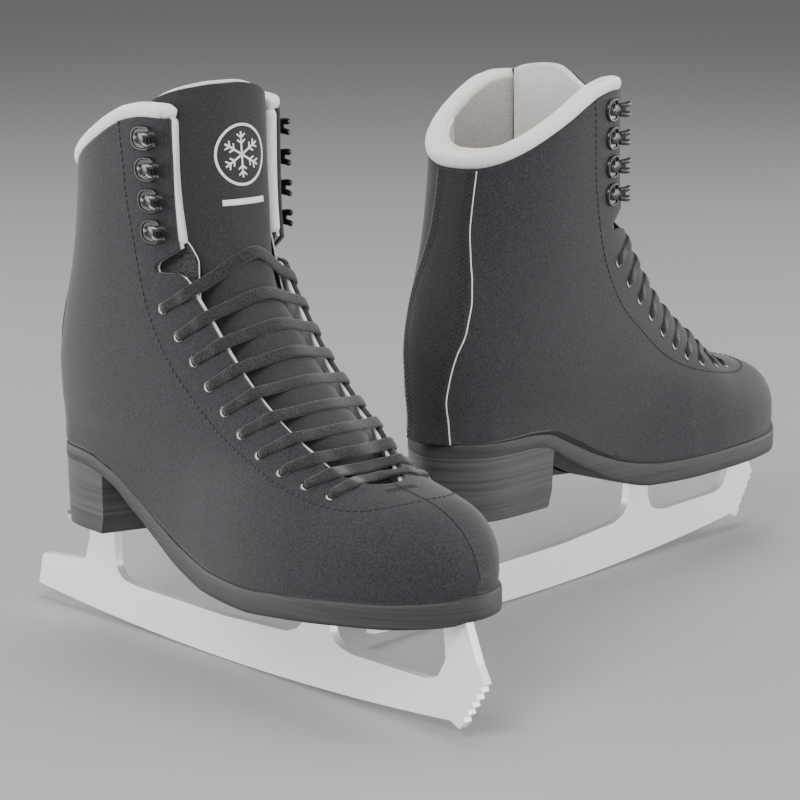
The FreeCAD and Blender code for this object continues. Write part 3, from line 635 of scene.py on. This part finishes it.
mottled(SOLE, 5, (0.024, 0.024, 0.0255), (0.05, 0.05, 0.053), 4.0, (3, 3, 190))
BOARD = new_material("fibre_board", (0.3, 0.24, 0.17), 0.9)
mottled(BOARD, 300, (0.24, 0.19, 0.13), (0.34, 0.28, 0.2))
FOAM = new_material("footbed_foam", (0.5, 0.48, 0.45), 0.95)
mottled(FOAM, 500, (0.42, 0.4, 0.38), (0.56, 0.54, 0.51))

# The heel's thin pressed layers are seen as fine level lines.
HEEL = new_material("heel_stack", (0.03, 0.03, 0.032), 0.38, Specular_IOR_Level=0.5, Coat_Weight=0.15,
                    Coat_Roughness=0.3)
mottled(HEEL, 5, (0.028, 0.028, 0.03), (0.085, 0.085, 0.09), 4.0, (2, 2, 150), (0.35, 0.75))
layers = texture(HEEL, "TexNoise", (5, 5, 160), Scale=4.0, Detail=3.0)
relief(HEEL, layers.outputs["Fac"], 0.25, 0.0004)

# Fleece with fine ribs running across it.
RIBBED = new_material("ribbed_lining", (0.55, 0.515, 0.485), 0.95, Sheen_Weight=0.4, Sheen_Roughness=0.6,
                      Specular_IOR_Level=0.15)
mottled(RIBBED, 420, (0.42, 0.385, 0.36), (0.55, 0.515, 0.485), stretch=(1, 1, 3))
ribs = texture(RIBBED, "TexWave", Scale=380.0, Distortion=3.0, Detail=2.0)
ribs.bands_direction = "Z"
relief(RIBBED, ribs.outputs["Fac"], 0.35, 0.0005)

# The CAD pieces that no Blender piece stands in for; most are hidden inside the boot.
NODE_FINISH = {"heel_plate": PLATE, "sole_screws": SCREW, "heel_screws": SCREW, "shank": PLATE,
               "insole_board": BOARD, "footbed": FOAM, "heel_counter": BOARD, "toe_puff": BOARD}
for name, cad_node in frame["nodes"].items():
    finish = NODE_FINISH.get(name.split("_", 1)[1], LEATHER)
    cad_node.data.materials.clear()
    cad_node.data.materials.append(finish)

# ---- the pieces of one skate

EYELETS = [(-0.5, 32, 158.2), (9.2, 32, 148), (18.8, 31.5, 138.7), (28.4, 31.5, 129.6), (38.6, 31.5, 120.6),
           (49.4, 31.5, 112.8), (61.2, 31.5, 106.2), (73.8, 30.5, 101), (86.6, 28.5, 97.3), (98.6, 25.5, 94.6)]
LACE_EDGES = [(13, 28, 167), (22, 27.4, 157.5), (31, 26.6, 147.5), (40, 25.4, 138), (50, 24.4, 129),
              (61, 23.4, 120.8), (73, 22.4, 113.8), (84.5, 20.6, 107.2), (94, 18, 102.4), (101, 14, 99)]
HOOKS = [(-9.5, 229.6), (-8, 216.6), (-6.8, 203.5), (-5.8, 190.6)]
STAY_SEAM = [(-24.5, 35.7, 236), (-23.2, 35.4, 223.6), (-21.4, 34.5, 202.6), (-18.4, 33.7, 186), (-13, 33.4, 165),
             (-6.5, 33.4, 150.8), (4, 33.3, 136.2), (18, 33.2, 124.3), (34, 33, 112.6), (51, 33.2, 104.5),
             (70.5, 34, 97.8), (87, 32.3, 93.4), (101, 28.4, 90.8), (112.7, 22.9, 90.8), (120.7, 14, 92.4),
             (124.3, 5.5, 93.3), (125, 0, 93.5)]
BACK_STAY = [(86.5, 12.5), (94, 11.8), (104, 11.6), (114, 12.8), (127, 15.3), (137, 17.4), (147, 17.6), (158, 16.2),
             (168, 13.7), (184, 11), (196, 10.8), (206, 11)]


TOE_SEAM = [(107, 0.2, 97), (118, 0.8, 95), (128, 1.8, 92.5), (137, 2.8, 88.5), (144, 3.5, 83), (149, 4, 77),
            (152, 4.3, 71), (153, 4.4, 66)]


def on_back(sideways, z, inset=0.0):
    """Points on the back of the boot from half width and height."""
    centre, found = xyz(-45.0, sideways * 0.3, z), xyz(-98.0, sideways, z)
    for _ in range(4):
        found = on_form(xyz(found[..., 0], sideways, z), inset, centre)
    return found


def make_upper(side):
    """The two halves' leather and, just inside it, the thin lining that shows along its edges."""
    for sign, name, twin in ((-1, "upper_outer", "quarter_outer"), (1, "upper_inner", "quarter_inner")):
        piece = add_piece(side, name, upper_half(sign), LEATHER, crease=50)
        thicken(piece, 2.3)
        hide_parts(side + "_" + twin)
        inner = upper_half(sign, 2.4, 0.9, -0.7, rows=80, sink=1.0)
        thicken(add_piece(side, name + "_lining", inner, EDGE), 1.4)


def make_back_stay(side):
    """The panel up the back, with three rows of stitches a side and piping on its inner edge."""
    heights = np.linspace(86.3, 206.5, 90)
    half = smooth_curve(*columns(BACK_STAY))(heights)
    grid = on_back(half[:, None] * np.linspace(-1, 1, 31), heights[:, None], -1.0)
    piece = add_piece(side, "back_stay", sheet(grid, flip=True), PANEL)
    thicken(piece, 1.2)
    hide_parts(side + "_back_counter_panel")
    threads = []
    for sign in (-1, 1):
        for inward, phase in ((1.6, 0), (3.0, 0.9), (4.4, 0)):
            row = on_back(sign * (half - inward), heights, -1.0)
            threads.append(stitches(row, 2.1, 1.3, 0.3, 0.1, -1.0, phase))
    piping = cord(on_back(half, heights, -0.6), 0.38, inset=-0.6)
    add_piece(side, "back_stay_piping", piping, EDGE)
    add_piece(side, "back_stay_stitches", joined(threads), THREAD)


def make_seams(side):
    """The stitched line round the facing, the toe's middle seam, and the bar tack where they meet."""
    threads = []
    for sign in (-1, 1):
        threads.append(stitches(surface_run([(x, sign * y, z) for x, y, z in STAY_SEAM]), 3.0, 2.1, 0.42, 0.12))
    toe = surface_run(TOE_SEAM)
    threads.append(stitches(toe, 2.4, 1.5, 0.4, 0.15))
    for x in (109.5, 112, 114.5):
        tack = surface_run([(x, -7.5, 96), (x + 0.6, 0, 96.4), (x, 7.5, 96)])
        threads.append(stitches(tack, 1.5, 0.9, 0.32, 0.1))
    # A dark strip sunk along the toe seam is painted shade standing in for the seam's groove.
    add_piece(side, "toe_seam_shade_strip", cord(toe, 0.34, -0.05, flat=0.6), GROOVE_SHADE)
    add_piece(side, "seam_stitches", joined(threads), THREAD)


def make_collar(side):
    """The padded roll round the top edge, fuller at the back and rounded off at its ends."""
    ring = np.vstack([collar_line(-1, 90)[::-1], collar_line(1, 90)[1:]])
    level = unit(outward(ring) * [1, 1, 0])
    up = unit(np.cross(level, unit(np.gradient(ring, axis=0))))
    up = up * np.sign(up[:, 2:])
    run = lengths_along(ring)
    taper = round_end(np.minimum(run, run[-1] - run) / 3.5, 0.02)
    puff = ease((-ring[:, 0] - 50) / 28)
    wide = (4.4 + 1.0 * puff) * (0.55 + 0.45 * taper)
    tall = (3.5 + 0.5 * puff) * (0.5 + 0.5 * taper)
    centre = ring + up * (tall - 1.0)[:, None] - level * (wide - 0.9 - 0.9 * puff)[:, None]
    sections = oval(1, 1, 20, 2.4) * np.stack([wide, tall], -1)[:, None]
    piece = add_piece(side, "collar", sweep(centre, up, sections), FLEECE)
    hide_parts(side + "_collar_roll")


BINDING_FOOT = 185.5


def make_front_binding(side):
    """The soft rolled edge down the front of each flap, from the collar to the notch."""
    parts = []
    for sign in (-1, 1):
        line = front_line(sign, 0.8)
        line = line[line[:, 2] > BINDING_FOOT]
        normal, beyond = edge_normals(line, sign)
        share = np.linspace(0, 1, len(line))
        swell = 1 - 0.35 * np.sin(share * math.pi) ** 1.5
        taper = 0.45 + 0.55 * round_end(np.minimum(share, 1 - share) * len(line) * 0.8 / 2.5)
        centre = line + beyond * (0.3 * swell)[:, None] - normal * 4.9
        width = 3.3 if sign == SIDES[side] else 1.6
        sections = oval(1, 1, 14, 2.3) * np.stack([width * swell * taper, 3.1 * taper], -1)[:, None]
        parts.append(sweep(centre, normal, sections))
    piece = add_piece(side, "front_binding", joined(parts), FLEECE)


def make_inner_walls(side):
    """The padded lining that shows inside the opening: its two sides and the cushion at the back."""
    depths = np.concatenate([np.linspace(-2.5, 12, 12), np.linspace(15, 62, 22)])
    for sign, name in ((-1, "outer"), (1, "inner")):
        grid = np.array([collar_line(sign, 70, 7.4 + 0.9 * math.exp(-drop / 8), drop) for drop in depths])
        verts, faces = sheet(grid, flip=sign < 0)
        back_seam = verts[:, 0] + 49 - (215 - verts[:, 2]) * 0.16
        wall = add_piece(side, "side_lining_" + name, trimmed(verts, faces, back_seam), RIBBED)
        thicken(wall, 1.5, 1.0)
        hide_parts(side + "_ankle_padding", side + "_lining")
        bulge = np.clip(-back_seam / 14, 0, 1)
        tuck = np.repeat(np.clip((depths - 1) / 12, 0, 1), grid.shape[1])
        puffed = verts - outward(verts, 8) * (0.07 + 2.1 * bulge * tuck)[:, None]
        cushion = add_piece(side, "back_cushion_" + name, trimmed(puffed, faces, -back_seam), FLEECE)
        thicken(cushion, 1.2, 1.0)


TONGUE_RISE = [(116, 90), (104, 97), (93, 103), (80, 111), (68, 121), (56, 136), (44, 152), (33, 168), (25.5, 185),
               (21, 205), (19, 225), (18, 252.3)]
TONGUE_HALF = [(88, 12), (94, 15), (100, 19), (110, 24), (125, 27.5), (145, 30), (165, 33), (180, 33), (200, 30),
               (230, 27.2), (246, 27)]
TONGUE_DROP = {"right": [(-1.0, 9.5), (-0.88, 6.8), (-0.7, 3.8), (-0.5, 1.8), (-0.25, 0.4), (0, 0.2), (0.2, 1.8),
                         (0.44, 6.4), (0.7, 11), (1.0, 15)],
               "left": [(-1.0, 8), (-0.8, 6.6), (-0.5, 6), (-0.3, 6.4), (-0.1, 9.5), (0.1, 15), (0.3, 20),
                        (0.6, 24), (1.0, 26)]}
TONGUE_DEPTH = [(90, 6.5), (120, 7.6), (150, 7.8), (168, 8.8), (185, 7.0), (205, 6.2), (255, 6.4)]
TONGUE_TURN = {"right": (64.0, 70.0), "left": (50.0, 66.0)}
tongue_half_at = smooth_curve(*columns(TONGUE_HALF))
tongue_depth_at = smooth_curve(*columns(TONGUE_DEPTH))
tongue_drop_at = {side: smooth_curve(*columns(table)) for side, table in TONGUE_DROP.items()}


def tongue_grid(side, margin=0.0):
    """The tongue's outside: a chord across the instep that wraps round the leg higher up."""
    rows, cols = 110, 45
    rise = soften([(x, 0.0, z) for x, z in TONGUE_RISE], 0.8)
    run = lengths_along(rise)
    rise = sampled(rise, run, np.linspace(0, run[-1], rows))
    x, level = rise[:, :1], rise[:, 2:]
    across = np.linspace(-1, 1, cols)
    y = across * (tongue_half_at(level) + margin)
    fold = np.clip((np.linspace(0, 1, rows) - 0.82) / 0.18, 0, 1)[:, None]
    z = level - (tongue_drop_at[side](across) - margin) * fold ** 1.5
    turn = np.radians(np.where(across < 0, *TONGUE_TURN[side]) * across + margin * np.sign(across))
    low_centre = xyz(x * 0.7 - 8, y * 0.4, 70 + (z - 70) * 0.78)
    high_centre = xyz(-28.0, 0, z)
    mix = ease((level - 160) / 35)
    grid = []
    for r, depth in enumerate(tongue_depth_at(rise[:, 2])):
        low = on_form(xyz(x[r], y[r], z[r]), depth, low_centre[r])
        high = on_form(high_centre[r] + 40 * xyz(np.cos(turn), np.sin(turn), 0), depth, high_centre[r])
        grid.append(low * (1 - mix[r]) + high * mix[r])
    return np.array(grid)


def make_tongue(side):
    """The padded tongue, the light lining behind its upper part and the piping round that part's edge."""
    grid = tongue_grid(side)
    under = outward(grid, 6.6)
    back = grid - under * 4.6
    low = int(len(grid) * 0.6)
    face = tongue_grid(side, margin=0.9) - under * 4.7
    lined = closed_sheet(face[low:], (face - under * 2.2)[low:])
    rim = np.vstack([back[low:, 0], back[-1, 1:-1], back[low:, -1][::-1]])
    rim_normal = outward(rim, 10)
    edging = sweep(rim + rim_normal * 0.6, rim_normal, oval(1.0, 1.3, 8))
    outer = add_piece(side, "tongue", closed_sheet(grid, back), TONGUE, None, 60)
    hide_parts(side + "_tongue_lower", side + "_tongue_top")
    lining = add_piece(side, "tongue_lining", lined, EDGE, None)
    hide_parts(side + "_tongue_top_lining")
    piping = add_piece(side, "tongue_piping", edging, EDGE, None)
    for piece in (outer, lining, piping):
        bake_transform(piece)


def closed_sheet(front, back):
    """A solid between two matching grids."""
    rows, cols = front.shape[:2]
    shift = rows * cols
    faces = grid_faces(rows, cols)
    faces += [tuple(k + shift for k in face[::-1]) for face in faces]
    index = np.arange(shift).reshape(rows, cols)
    rim = np.concatenate([index[0], index[1:, -1], index[-1, -2::-1], index[-2:0:-1, 0]]).tolist()
    for a, b in zip(rim, rim[1:] + rim[:1]):
        faces.append((b, a, a + shift, b + shift))
    return np.vstack([front.reshape(-1, 3), back.reshape(-1, 3)]), faces


GUSSET_EDGE = [(160, 30), (170, 30), (178, 29.8), (183, 32.5), (187, 36.6), (192, 48), (197, 62)]


def make_gusset(side):
    """The dark mesh that fills the notch, bound with a thin light edge where it meets the tongue."""
    heights = np.linspace(160, 196.5, 40)[:, None]
    share = np.linspace(0, 1, 26)
    angle = np.radians(82 + (smooth_curve(*columns(GUSSET_EDGE))(heights) - 82) * share)
    centre = xyz(-28.0, np.zeros(angle.shape), heights)
    sheets, edges = [], []
    for sign in (-1, 1):
        grid = on_form(centre + 40 * xyz(np.cos(angle), sign * np.sin(angle), 0), 5.0, centre)
        grid -= outward(grid, 5.0) * (share[:, None] * 1.6)
        sheets.append(sheet(grid, flip=sign < 0))
        edges.append(cord(grid[:, -1], 0.4, 0.3, inset=6.6))
    thicken(add_piece(side, "gusset", joined(sheets), MESH), 0.8)
    add_piece(side, "gusset_edge", joined(edges), EDGE)


def printed(points, width, closed=False):
    """A flat line printed on the front of the tongue through (sideways, height) points."""
    y, z = points.T
    centre = xyz(-10.0, y, z)
    path = on_form(centre + [50, 0, 0], float(tongue_depth_at(z.mean())) - 0.12, centre)
    return sweep(path, outward(path, 6.6), oval(width / 2, 0.14, 8, 3), closed)


def make_emblem(side):
    """A plain ring with a six-armed ice crystal, over a short bar."""
    middle = np.array([0.0, 222.0])
    parts = [printed(middle + oval(12.5, 12.5, 60), 1.2, closed=True)]
    for k in range(6):
        way = np.array([math.sin(k * math.pi / 3), math.cos(k * math.pi / 3)])
        cross = np.array([way[1], -way[0]])
        parts.append(printed(middle + way * np.linspace(0.3, 9.6, 10)[:, None], 0.95))
        for reach, hand in ((4.6, -1), (4.6, 1), (7.0, -1), (7.0, 1)):
            twig = way * reach + (way * 0.75 + cross * hand) * np.linspace(0, 2.1, 5)[:, None]
            parts.append(printed(middle + twig, 0.8))
    parts.append(printed(np.stack([np.linspace(-11, 11, 20), np.full(20, 202.5)], -1), 2.6))
    add_piece(side, "emblem", joined(parts), EMBLEM, "tongue")


LACE_WIDE = 2.75
def lace_end(sign, row):
    """From inside an eyelet to the facing's edge: (place, upward, half width) rows, the edge, its normal."""
    h, e = on_side(sign, *EYELETS[row]), on_side(sign, *LACE_EDGES[row])
    hn, en, pull = outward(h), outward(e), unit(e - h)
    return [(h - hn * 5, -pull, 1.5),
            (h - hn * 1.0 + pull * 0.1, unit(hn * 0.3 - pull), 1.5),
            (h + hn * 1.15 + pull * 1.6, unit(hn - pull * 0.25), 1.9),
            (h + (e - h) * 0.5 + hn * 0.9, unit(hn + en), 2.5),
            (e + en * 0.95 - pull * 1.0, en, 2.7)], e, en


def lace_bar(row, near, rng):
    """One straight bar, from inside one eyelet over the tongue to inside the other."""
    (first, e, en), (last, e2, en2) = (lace_end(sign, row) for sign in (near, -near))
    slide = np.array([rng.uniform(-0.7, 0.7), 0, rng.uniform(-0.5, 0.5)])
    depth = float(tongue_depth_at(LACE_EDGES[row][2])) - 1.3
    over = []
    for share in (0.22, 0.5, 0.78):
        across = e * (1 - share) + e2 * share
        at = 1 - abs(share - 0.5) * 2
        p = on_form(across[None], depth)
        for _ in range(3):
            depth = float(tongue_depth_at(p[0, 2])) - 1.5
            p = on_form(across[None], depth * (0.72 + 0.28 * at))
        normal = unit(unit(en + en2) + (en * (1 - share) + en2 * share) * 0.6)
        over.append((p[0] + slide * at, normal, LACE_WIDE))
    return [(*place, *up, wide) for place, up, wide in first + over + last[::-1]]


def make_lace(side):
    """One flat lace, from the toe up, crossing in a bar at each pair of eyelets; narrower is thicker."""
    rng = random.Random(7 if side == "right" else 11)
    bars = [lace_bar(row, 1 if row % 2 else -1, rng) for row in reversed(range(len(EYELETS)))]
    dense = soften(np.vstack(bars), 0.8)
    path, up, wide = dense[:, :3], unit(dense[:, 3:6]), dense[:, 6]
    sections = oval(1, 1, 14, 3.2) * np.stack([wide, 0.62 + (LACE_WIDE - wide) * 0.45], -1)[:, None]
    piece = add_piece(side, "lace_run", sweep(path, up, sections), LACE)
    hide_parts(side + "_lace")


def standing(places, ahead):
    """Places on the leather with their forward, sideways and outward directions."""
    normal = outward(places)
    forward = unit(ahead - normal * (ahead * normal).sum(-1, keepdims=True))
    return places, forward, np.cross(normal, forward), normal


def stamped(shape, frames):
    """Copies of a small shape standing on the leather: its X forward, Z outward."""
    verts, faces = shape
    x, y, z = verts[:, :1], verts[:, 1:2], verts[:, 2:]
    return joined((p + x * f + y * s + z * n, faces) for p, f, s, n in zip(*frames))


def raised(outline, profile):
    """A shape whose outline is scaled and lifted by each (scale, height) pair in turn."""
    rings = [np.column_stack([outline * scale, np.full(len(outline), height)]) for scale, height in profile]
    return sheet(rings, closed=True)


def hook_shape():
    """A hook standing on X-Y: a plate squarer in front, its rivet, a neck and two prongs bent over."""
    front, back = oval(4.0, 4.7, 28, 5.0), oval(5.4, 4.7, 28, 2.3)
    plate = raised(np.where(front[:, :1] < 0, back, front),
                   [(1.0, 0.0), (1.0, 0.9), (0.95, 1.3), (0.86, 1.3), (0.8, 0.8), (0.4, 0.75), (0.02, 0.75)])
    rivet, rivet_faces = raised(oval(1, 1, 16), [(2.1, 0.7), (2.05, 1.3), (1.6, 1.9), (0.9, 2.2), (0.02, 2.3)])
    neck = soften([(-0.6, 0, 1.2), (1.4, 0, 1.6), (3.2, 0, 2.6), (4.6, 0, 4.0)], 0.4)
    parts = [plate, (rivet + [-1.6, 0, 0], rivet_faces), sweep(neck, UP, oval(2.4, 0.75, 12, 3))]
    for way in (-1, 1):
        prong = soften([(2.6, way * 1.5, 2.5), (4.6, way * 1.9, 3.9), (6.4, way * 2.1, 4.5), (7.8, way * 2.1, 4.3),
                        (8.4, way * 2.0, 3.2)], 0.4)
        size = np.linspace(1.0, 0.85, len(prong))[:, None, None]
        parts.append(sweep(prong, UP, oval(1.35, 0.85, 10) * size))
    return joined(parts)


def make_hardware(side):
    """The hooks up the leg, and the eyelets with their rims, a dark disc of painted shade over each hole and a
    light crescent of painted highlight on each edge.
    """
    places = np.array([on_side(sign, x, 36, z) for sign in (-1, 1) for x, z in HOOKS])
    verts, faces = hook_shape()
    hooks = stamped((verts * 1.1, faces), standing(places, np.array([1.0, 0, 0])))
    hooks = add_piece(side, "hooks", hooks, HARDWARE, crease=40)
    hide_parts(side + "_lace_hooks")
    places, edges = (np.array([on_side(sign, *spot) for sign in (-1, 1) for spot in table])
                     for table in (EYELETS, LACE_EDGES))
    frames = standing(places, edges - places)
    circle = oval(1, 1, 20)
    rim = raised(circle, [(1.9, -0.4), (1.9, 0.1), (2.1, 0.3), (2.6, 0.25), (2.9, 0.0), (2.9, -0.4)])
    # Painted shade: a flat dark disc over each eyelet's hole.
    hole = raised(circle, [(2.0, 0.06), (0.02, 0.06)])
    # Painted highlight: a light crescent on each eyelet's edge stands in for a glint.
    angle = np.radians(np.linspace(120, 240, 10))
    size = np.sin(np.linspace(0.25, 2.89, 10))[:, None, None]
    glint = sweep(xyz(1.9 * np.cos(angle), 1.9 * np.sin(angle), 0.2), UP, oval(0.4, 0.25, 8) * size)
    piece = add_piece(side, "eyelet_rims", stamped(rim, frames), HARDWARE)
    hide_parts(side + "_eyelets")
    add_piece(side, "eyelet_hole_shade", stamped(hole, frames), GROOVE_SHADE)
    add_piece(side, "eyelet_edge_glints", stamped(glint, frames), EDGE)


def sole_ring(grow, steps):
    """The sole's edge from above, once round, clockwise from the heel."""
    outer = [(SOLE_HEEL_X - grow, 0)] + [(x, -a - grow) for x, a, _ in SOLE_EDGE]
    inner = [(x, b + grow) for x, _, b in reversed(SOLE_EDGE)]
    loop = outer + [(SOLE_TOE[0] + grow, SOLE_TOE[1])] + inner
    ring = soften(loop[-3:] + loop + loop[:3], 1.0)
    half = len(ring) // 2
    gaps = np.linalg.norm(ring - loop[0], axis=1)
    ring = ring[np.argmin(gaps[:half]):half + np.argmin(gaps[half:])]
    ring = np.vstack([ring, ring[:1]])
    run = lengths_along(ring)
    return sampled(ring, run, np.linspace(0, run[-1], steps, endpoint=False))


SOLE_SHELLS = [(-7, 1, -0.1), (-1.6, 1, -0.1), (-0.5, 1, -0.15), (0.1, 1, -0.5), (0.35, 0.85, 0), (0.4, 0.5, 0),
               (0.35, 0.15, 0), (0.1, 0, 0.45), (-0.6, 0, 0.02), (-7, 0, 0)]


def make_outsole(side):
    """A smooth sole with a slightly rounded edge, flush with the leather above it."""
    rings = []
    for grow, share, lift in SOLE_SHELLS:
        x, y = sole_ring(grow + 0.5, 360).T
        rings.append(xyz(x, y, sole_height(x, y, share) + lift))
    for share, shell in ((1, 0), (0, -1)):
        x, y, _ = rings[shell].T
        for reach in (0.7, 0.4, 0.12):
            inwards = 1.0 + (y - 1.0) * reach
            rings.insert(0 if share else len(rings), xyz(x, inwards, sole_height(x, inwards, share)))
    piece = add_piece(side, "sole", sheet(rings, closed=True), SOLE, crease=50)
    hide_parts(side + "_outsole")


HEEL_BREAST = ((-53.0, -26.0), (-40.0, 26.0))


HEEL_MIDDLE = np.array([-76.0, 0.0])
HEEL_RINGS = [(90, 0.4), (90, 1.0), (72, 0.99), (57, 0.975), (50.4, 0.965), (49.6, 0.96), (49.4, 0.945),
              (49.4, 0.02)]


def make_heel(side):
    """The stacked heel: flush with the sole, its breast slanted forward on the inner side."""
    (ax, ay), (bx, by) = HEEL_BREAST

    def breast(y):
        return ax + (y - ay) / (by - ay) * (bx - ax)
    loop = sole_ring(0.6, 900)
    kept = loop[loop[:, 0] < breast(loop[:, 1])]
    start = np.argmax(np.linalg.norm(kept - np.roll(kept, 1, 0), axis=1))
    kept = np.roll(kept, -start, 0)
    plan = np.vstack([kept, np.linspace(kept[-1], kept[0], 12)[1:-1]])
    rings = []
    for z, shrink in HEEL_RINGS:
        x, y = (HEEL_MIDDLE + (plan - HEEL_MIDDLE) * shrink).T
        x = np.minimum(x, breast(y) - max(0.0, 55.0 - z) * 0.6 - 0.2)
        rings.append(xyz(x, y, np.minimum(z, sole_height(x, y, 0) + 0.6)))
    piece = add_piece(side, "heel", sheet(rings, closed=True), HEEL, crease=35)
    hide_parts(side + "_heel_stack", side + "_heel_cap")


def rounded(corners):
    """A closed outline whose corners (x, z, radius) are rounded."""
    points = []
    for k, (x, z, r) in enumerate(corners):
        here = np.array([x, z])
        if not r:
            points.append(here)
            continue
        back, ahead = (np.array(corners[n % len(corners)][:2]) - here for n in (k - 1, k + 1))
        reach = min(np.linalg.norm(back), np.linalg.norm(ahead)) * 0.49
        back, ahead = unit(back), unit(ahead)
        half = math.acos(np.clip(back @ ahead, -1, 1)) / 2
        run = min(r / math.tan(half), reach)
        r = run * math.tan(half)
        middle = here + unit(back + ahead) * (r / math.sin(half))
        first, last = here + back * run - middle, here + ahead * run - middle
        points += [middle + unit(first * (1 - u) + last * u) * r for u in np.linspace(0, 1, 9)]
    return np.array(points)


PLATE_HALF = [(22, 9), (30, 14.5), (50, 15), (95, 23), (120, 20), (136, 12), (143, 5)]
PLATE_SECTION = [(-1, 0.3), (-1, -2.2), (-0.97, -2.4), (0, -2.4), (0.97, -2.4), (1, -2.2), (1, 0.3)]
BLADE_TOP = [(162.9, 25.6, 0.5), (158.6, 33, 6), (151.5, 50, 0), (138.5, 50, 0), (139.5, 40, 10), (140.6, 31.5, 7),
             (135.5, 22.6, 6), (128, 20.8, 0), (84, 20.6, 0), (71, 23.2, 11), (67, 50, 0), (55.5, 50, 0),
             (52.5, 26, 9), (42, 21.6, 8), (0, 19.4, 0), (-62, 19.7, 0), (-77.5, 21.2, 14), (-79.5, 54, 0),
             (-95.5, 54, 0), (-97.5, 36, 6), (-101.5, 24.6, 4), (-135, 21.3, 3)]


def cut_sheet(outline, half):
    """A flat sheet cut to an outline in the x-z plane, of half thickness half."""
    flat = [Vector((x, z, 0)) for x, z in outline]
    faces, count = [], len(outline)
    for a, b, c in tessellate_polygon([flat]):
        (ax, az), (bx, bz), (cx, cz) = outline[a], outline[b], outline[c]
        if (bx - ax) * (cz - az) - (bz - az) * (cx - ax) < 0:
            b, c = c, b
        faces += [(a, b, c), (c + count, b + count, a + count)]
    for k in range(count):
        n = (k + 1) % count
        faces.append((n, k, k + count, n + count))
    verts = np.vstack([np.insert(outline, 1, y, axis=1) for y in (-half, half)])
    return verts, faces


def make_blade(side):
    """The runner with its stanchions and picks, and the plate that carries it under the sole."""
    ice = [(x, (x + 0.3) ** 2 / 3100, 0) for x in np.linspace(-138.6, 143, 60)]
    picks = [(148.5, 4.2, 0.4), (150.6, 6.6, 0)]
    for k in range(5):
        x, z = 150.4 + 2.45 * k, 7.2 + 3.7 * k
        picks += [(x + 1.2, z + 0.3, 0.25), (x + 0.5, z + 2.3, 0)]
    outline = rounded(ice + picks + BLADE_TOP)
    blade = add_piece(side, "blade", cut_sheet(outline, 2.0), STEEL, crease=30)
    bevel = blade.modifiers.new("eased_edges", "BEVEL")
    bevel.width, bevel.segments, bevel.angle_limit = 0.25 * MM, 2, math.radians(35)
    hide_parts(side + "_blade_runner")
    xs = 22 + 121 * np.linspace(0, 1, 60)
    half = smooth_curve(*columns(PLATE_HALF))(xs)
    rows = [xyz(xs, half * share, sole_under(xs) + lift) for share, lift in PLATE_SECTION]
    verts, faces = sheet(rows, flip=True)
    toe_end = tuple(r * 60 + 59 for r in range(len(rows)))
    faces += [tuple(k - 59 for k in toe_end), toe_end[::-1]]
    plate = add_piece(side, "mount_plate", (verts, faces), PLATE, crease=30)
    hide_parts(side + "_sole_plate")


for side in SIDES:
    for make in (make_outsole, make_heel, make_blade, make_upper, make_back_stay, make_seams, make_collar,
                 make_front_binding, make_inner_walls, make_tongue, make_gusset, make_emblem, make_lace,
                 make_hardware):
        make(side)

# ---- floor, light and camera

floor_material = new_material("floor", (0.4, 0.4, 0.41), 0.85)
bpy.ops.mesh.primitive_plane_add(size=12, location=(0, 2, -0.0005))
floor = bpy.context.object
floor.name = "floor"
floor.data.materials.append(floor_material)


def add_light(name, place, target, size, power, tall=None):
    lamp = bpy.data.lights.new(name, "AREA")
    lamp.shape = "RECTANGLE"
    lamp.size = size
    lamp.size_y = tall or size
    lamp.energy = power
    made = bpy.data.objects.new(name, lamp)
    made.location = place
    made.rotation_euler = (Vector(target) - Vector(place)).to_track_quat("-Z", "Y").to_euler()
    bpy.context.scene.collection.objects.link(made)


add_light("key", (-0.7, -1.5, 1.4), (0, 0, 0.12), 1.0, 30)
add_light("fill", (1.2, -1.3, 0.9), (0, 0, 0.12), 1.2, 16)
add_light("top", (0.0, 0.4, 1.8), (0, 0, 0.1), 1.4, 20)
add_light("left_card", (-1.5, 0.15, 0.2), (0, 0, 0.06), 2.4, 33, 0.6)
add_light("right_card", (1.5, 0.3, 0.2), (0, 0, 0.06), 2.4, 28, 0.6)

world = bpy.data.worlds.new("studio")
world.use_nodes = True
world.node_tree.nodes["Background"].inputs["Color"].default_value = (0.9, 0.9, 0.92, 1)
world.node_tree.nodes["Background"].inputs["Strength"].default_value = 0.3
bpy.context.scene.world = world

CAMERA_PLACE = (-0.01135, -1.26603, 0.369)
CAMERA_TILT = 11.92
lens = bpy.data.cameras.new("camera")
lens.lens = 129.0
lens.sensor_width = 36.0
camera = bpy.data.objects.new("camera", lens)
camera.location = CAMERA_PLACE
camera.rotation_euler = (math.radians(90 - CAMERA_TILT), 0, 0)
bpy.context.scene.collection.objects.link(camera)
bpy.context.scene.camera = camera
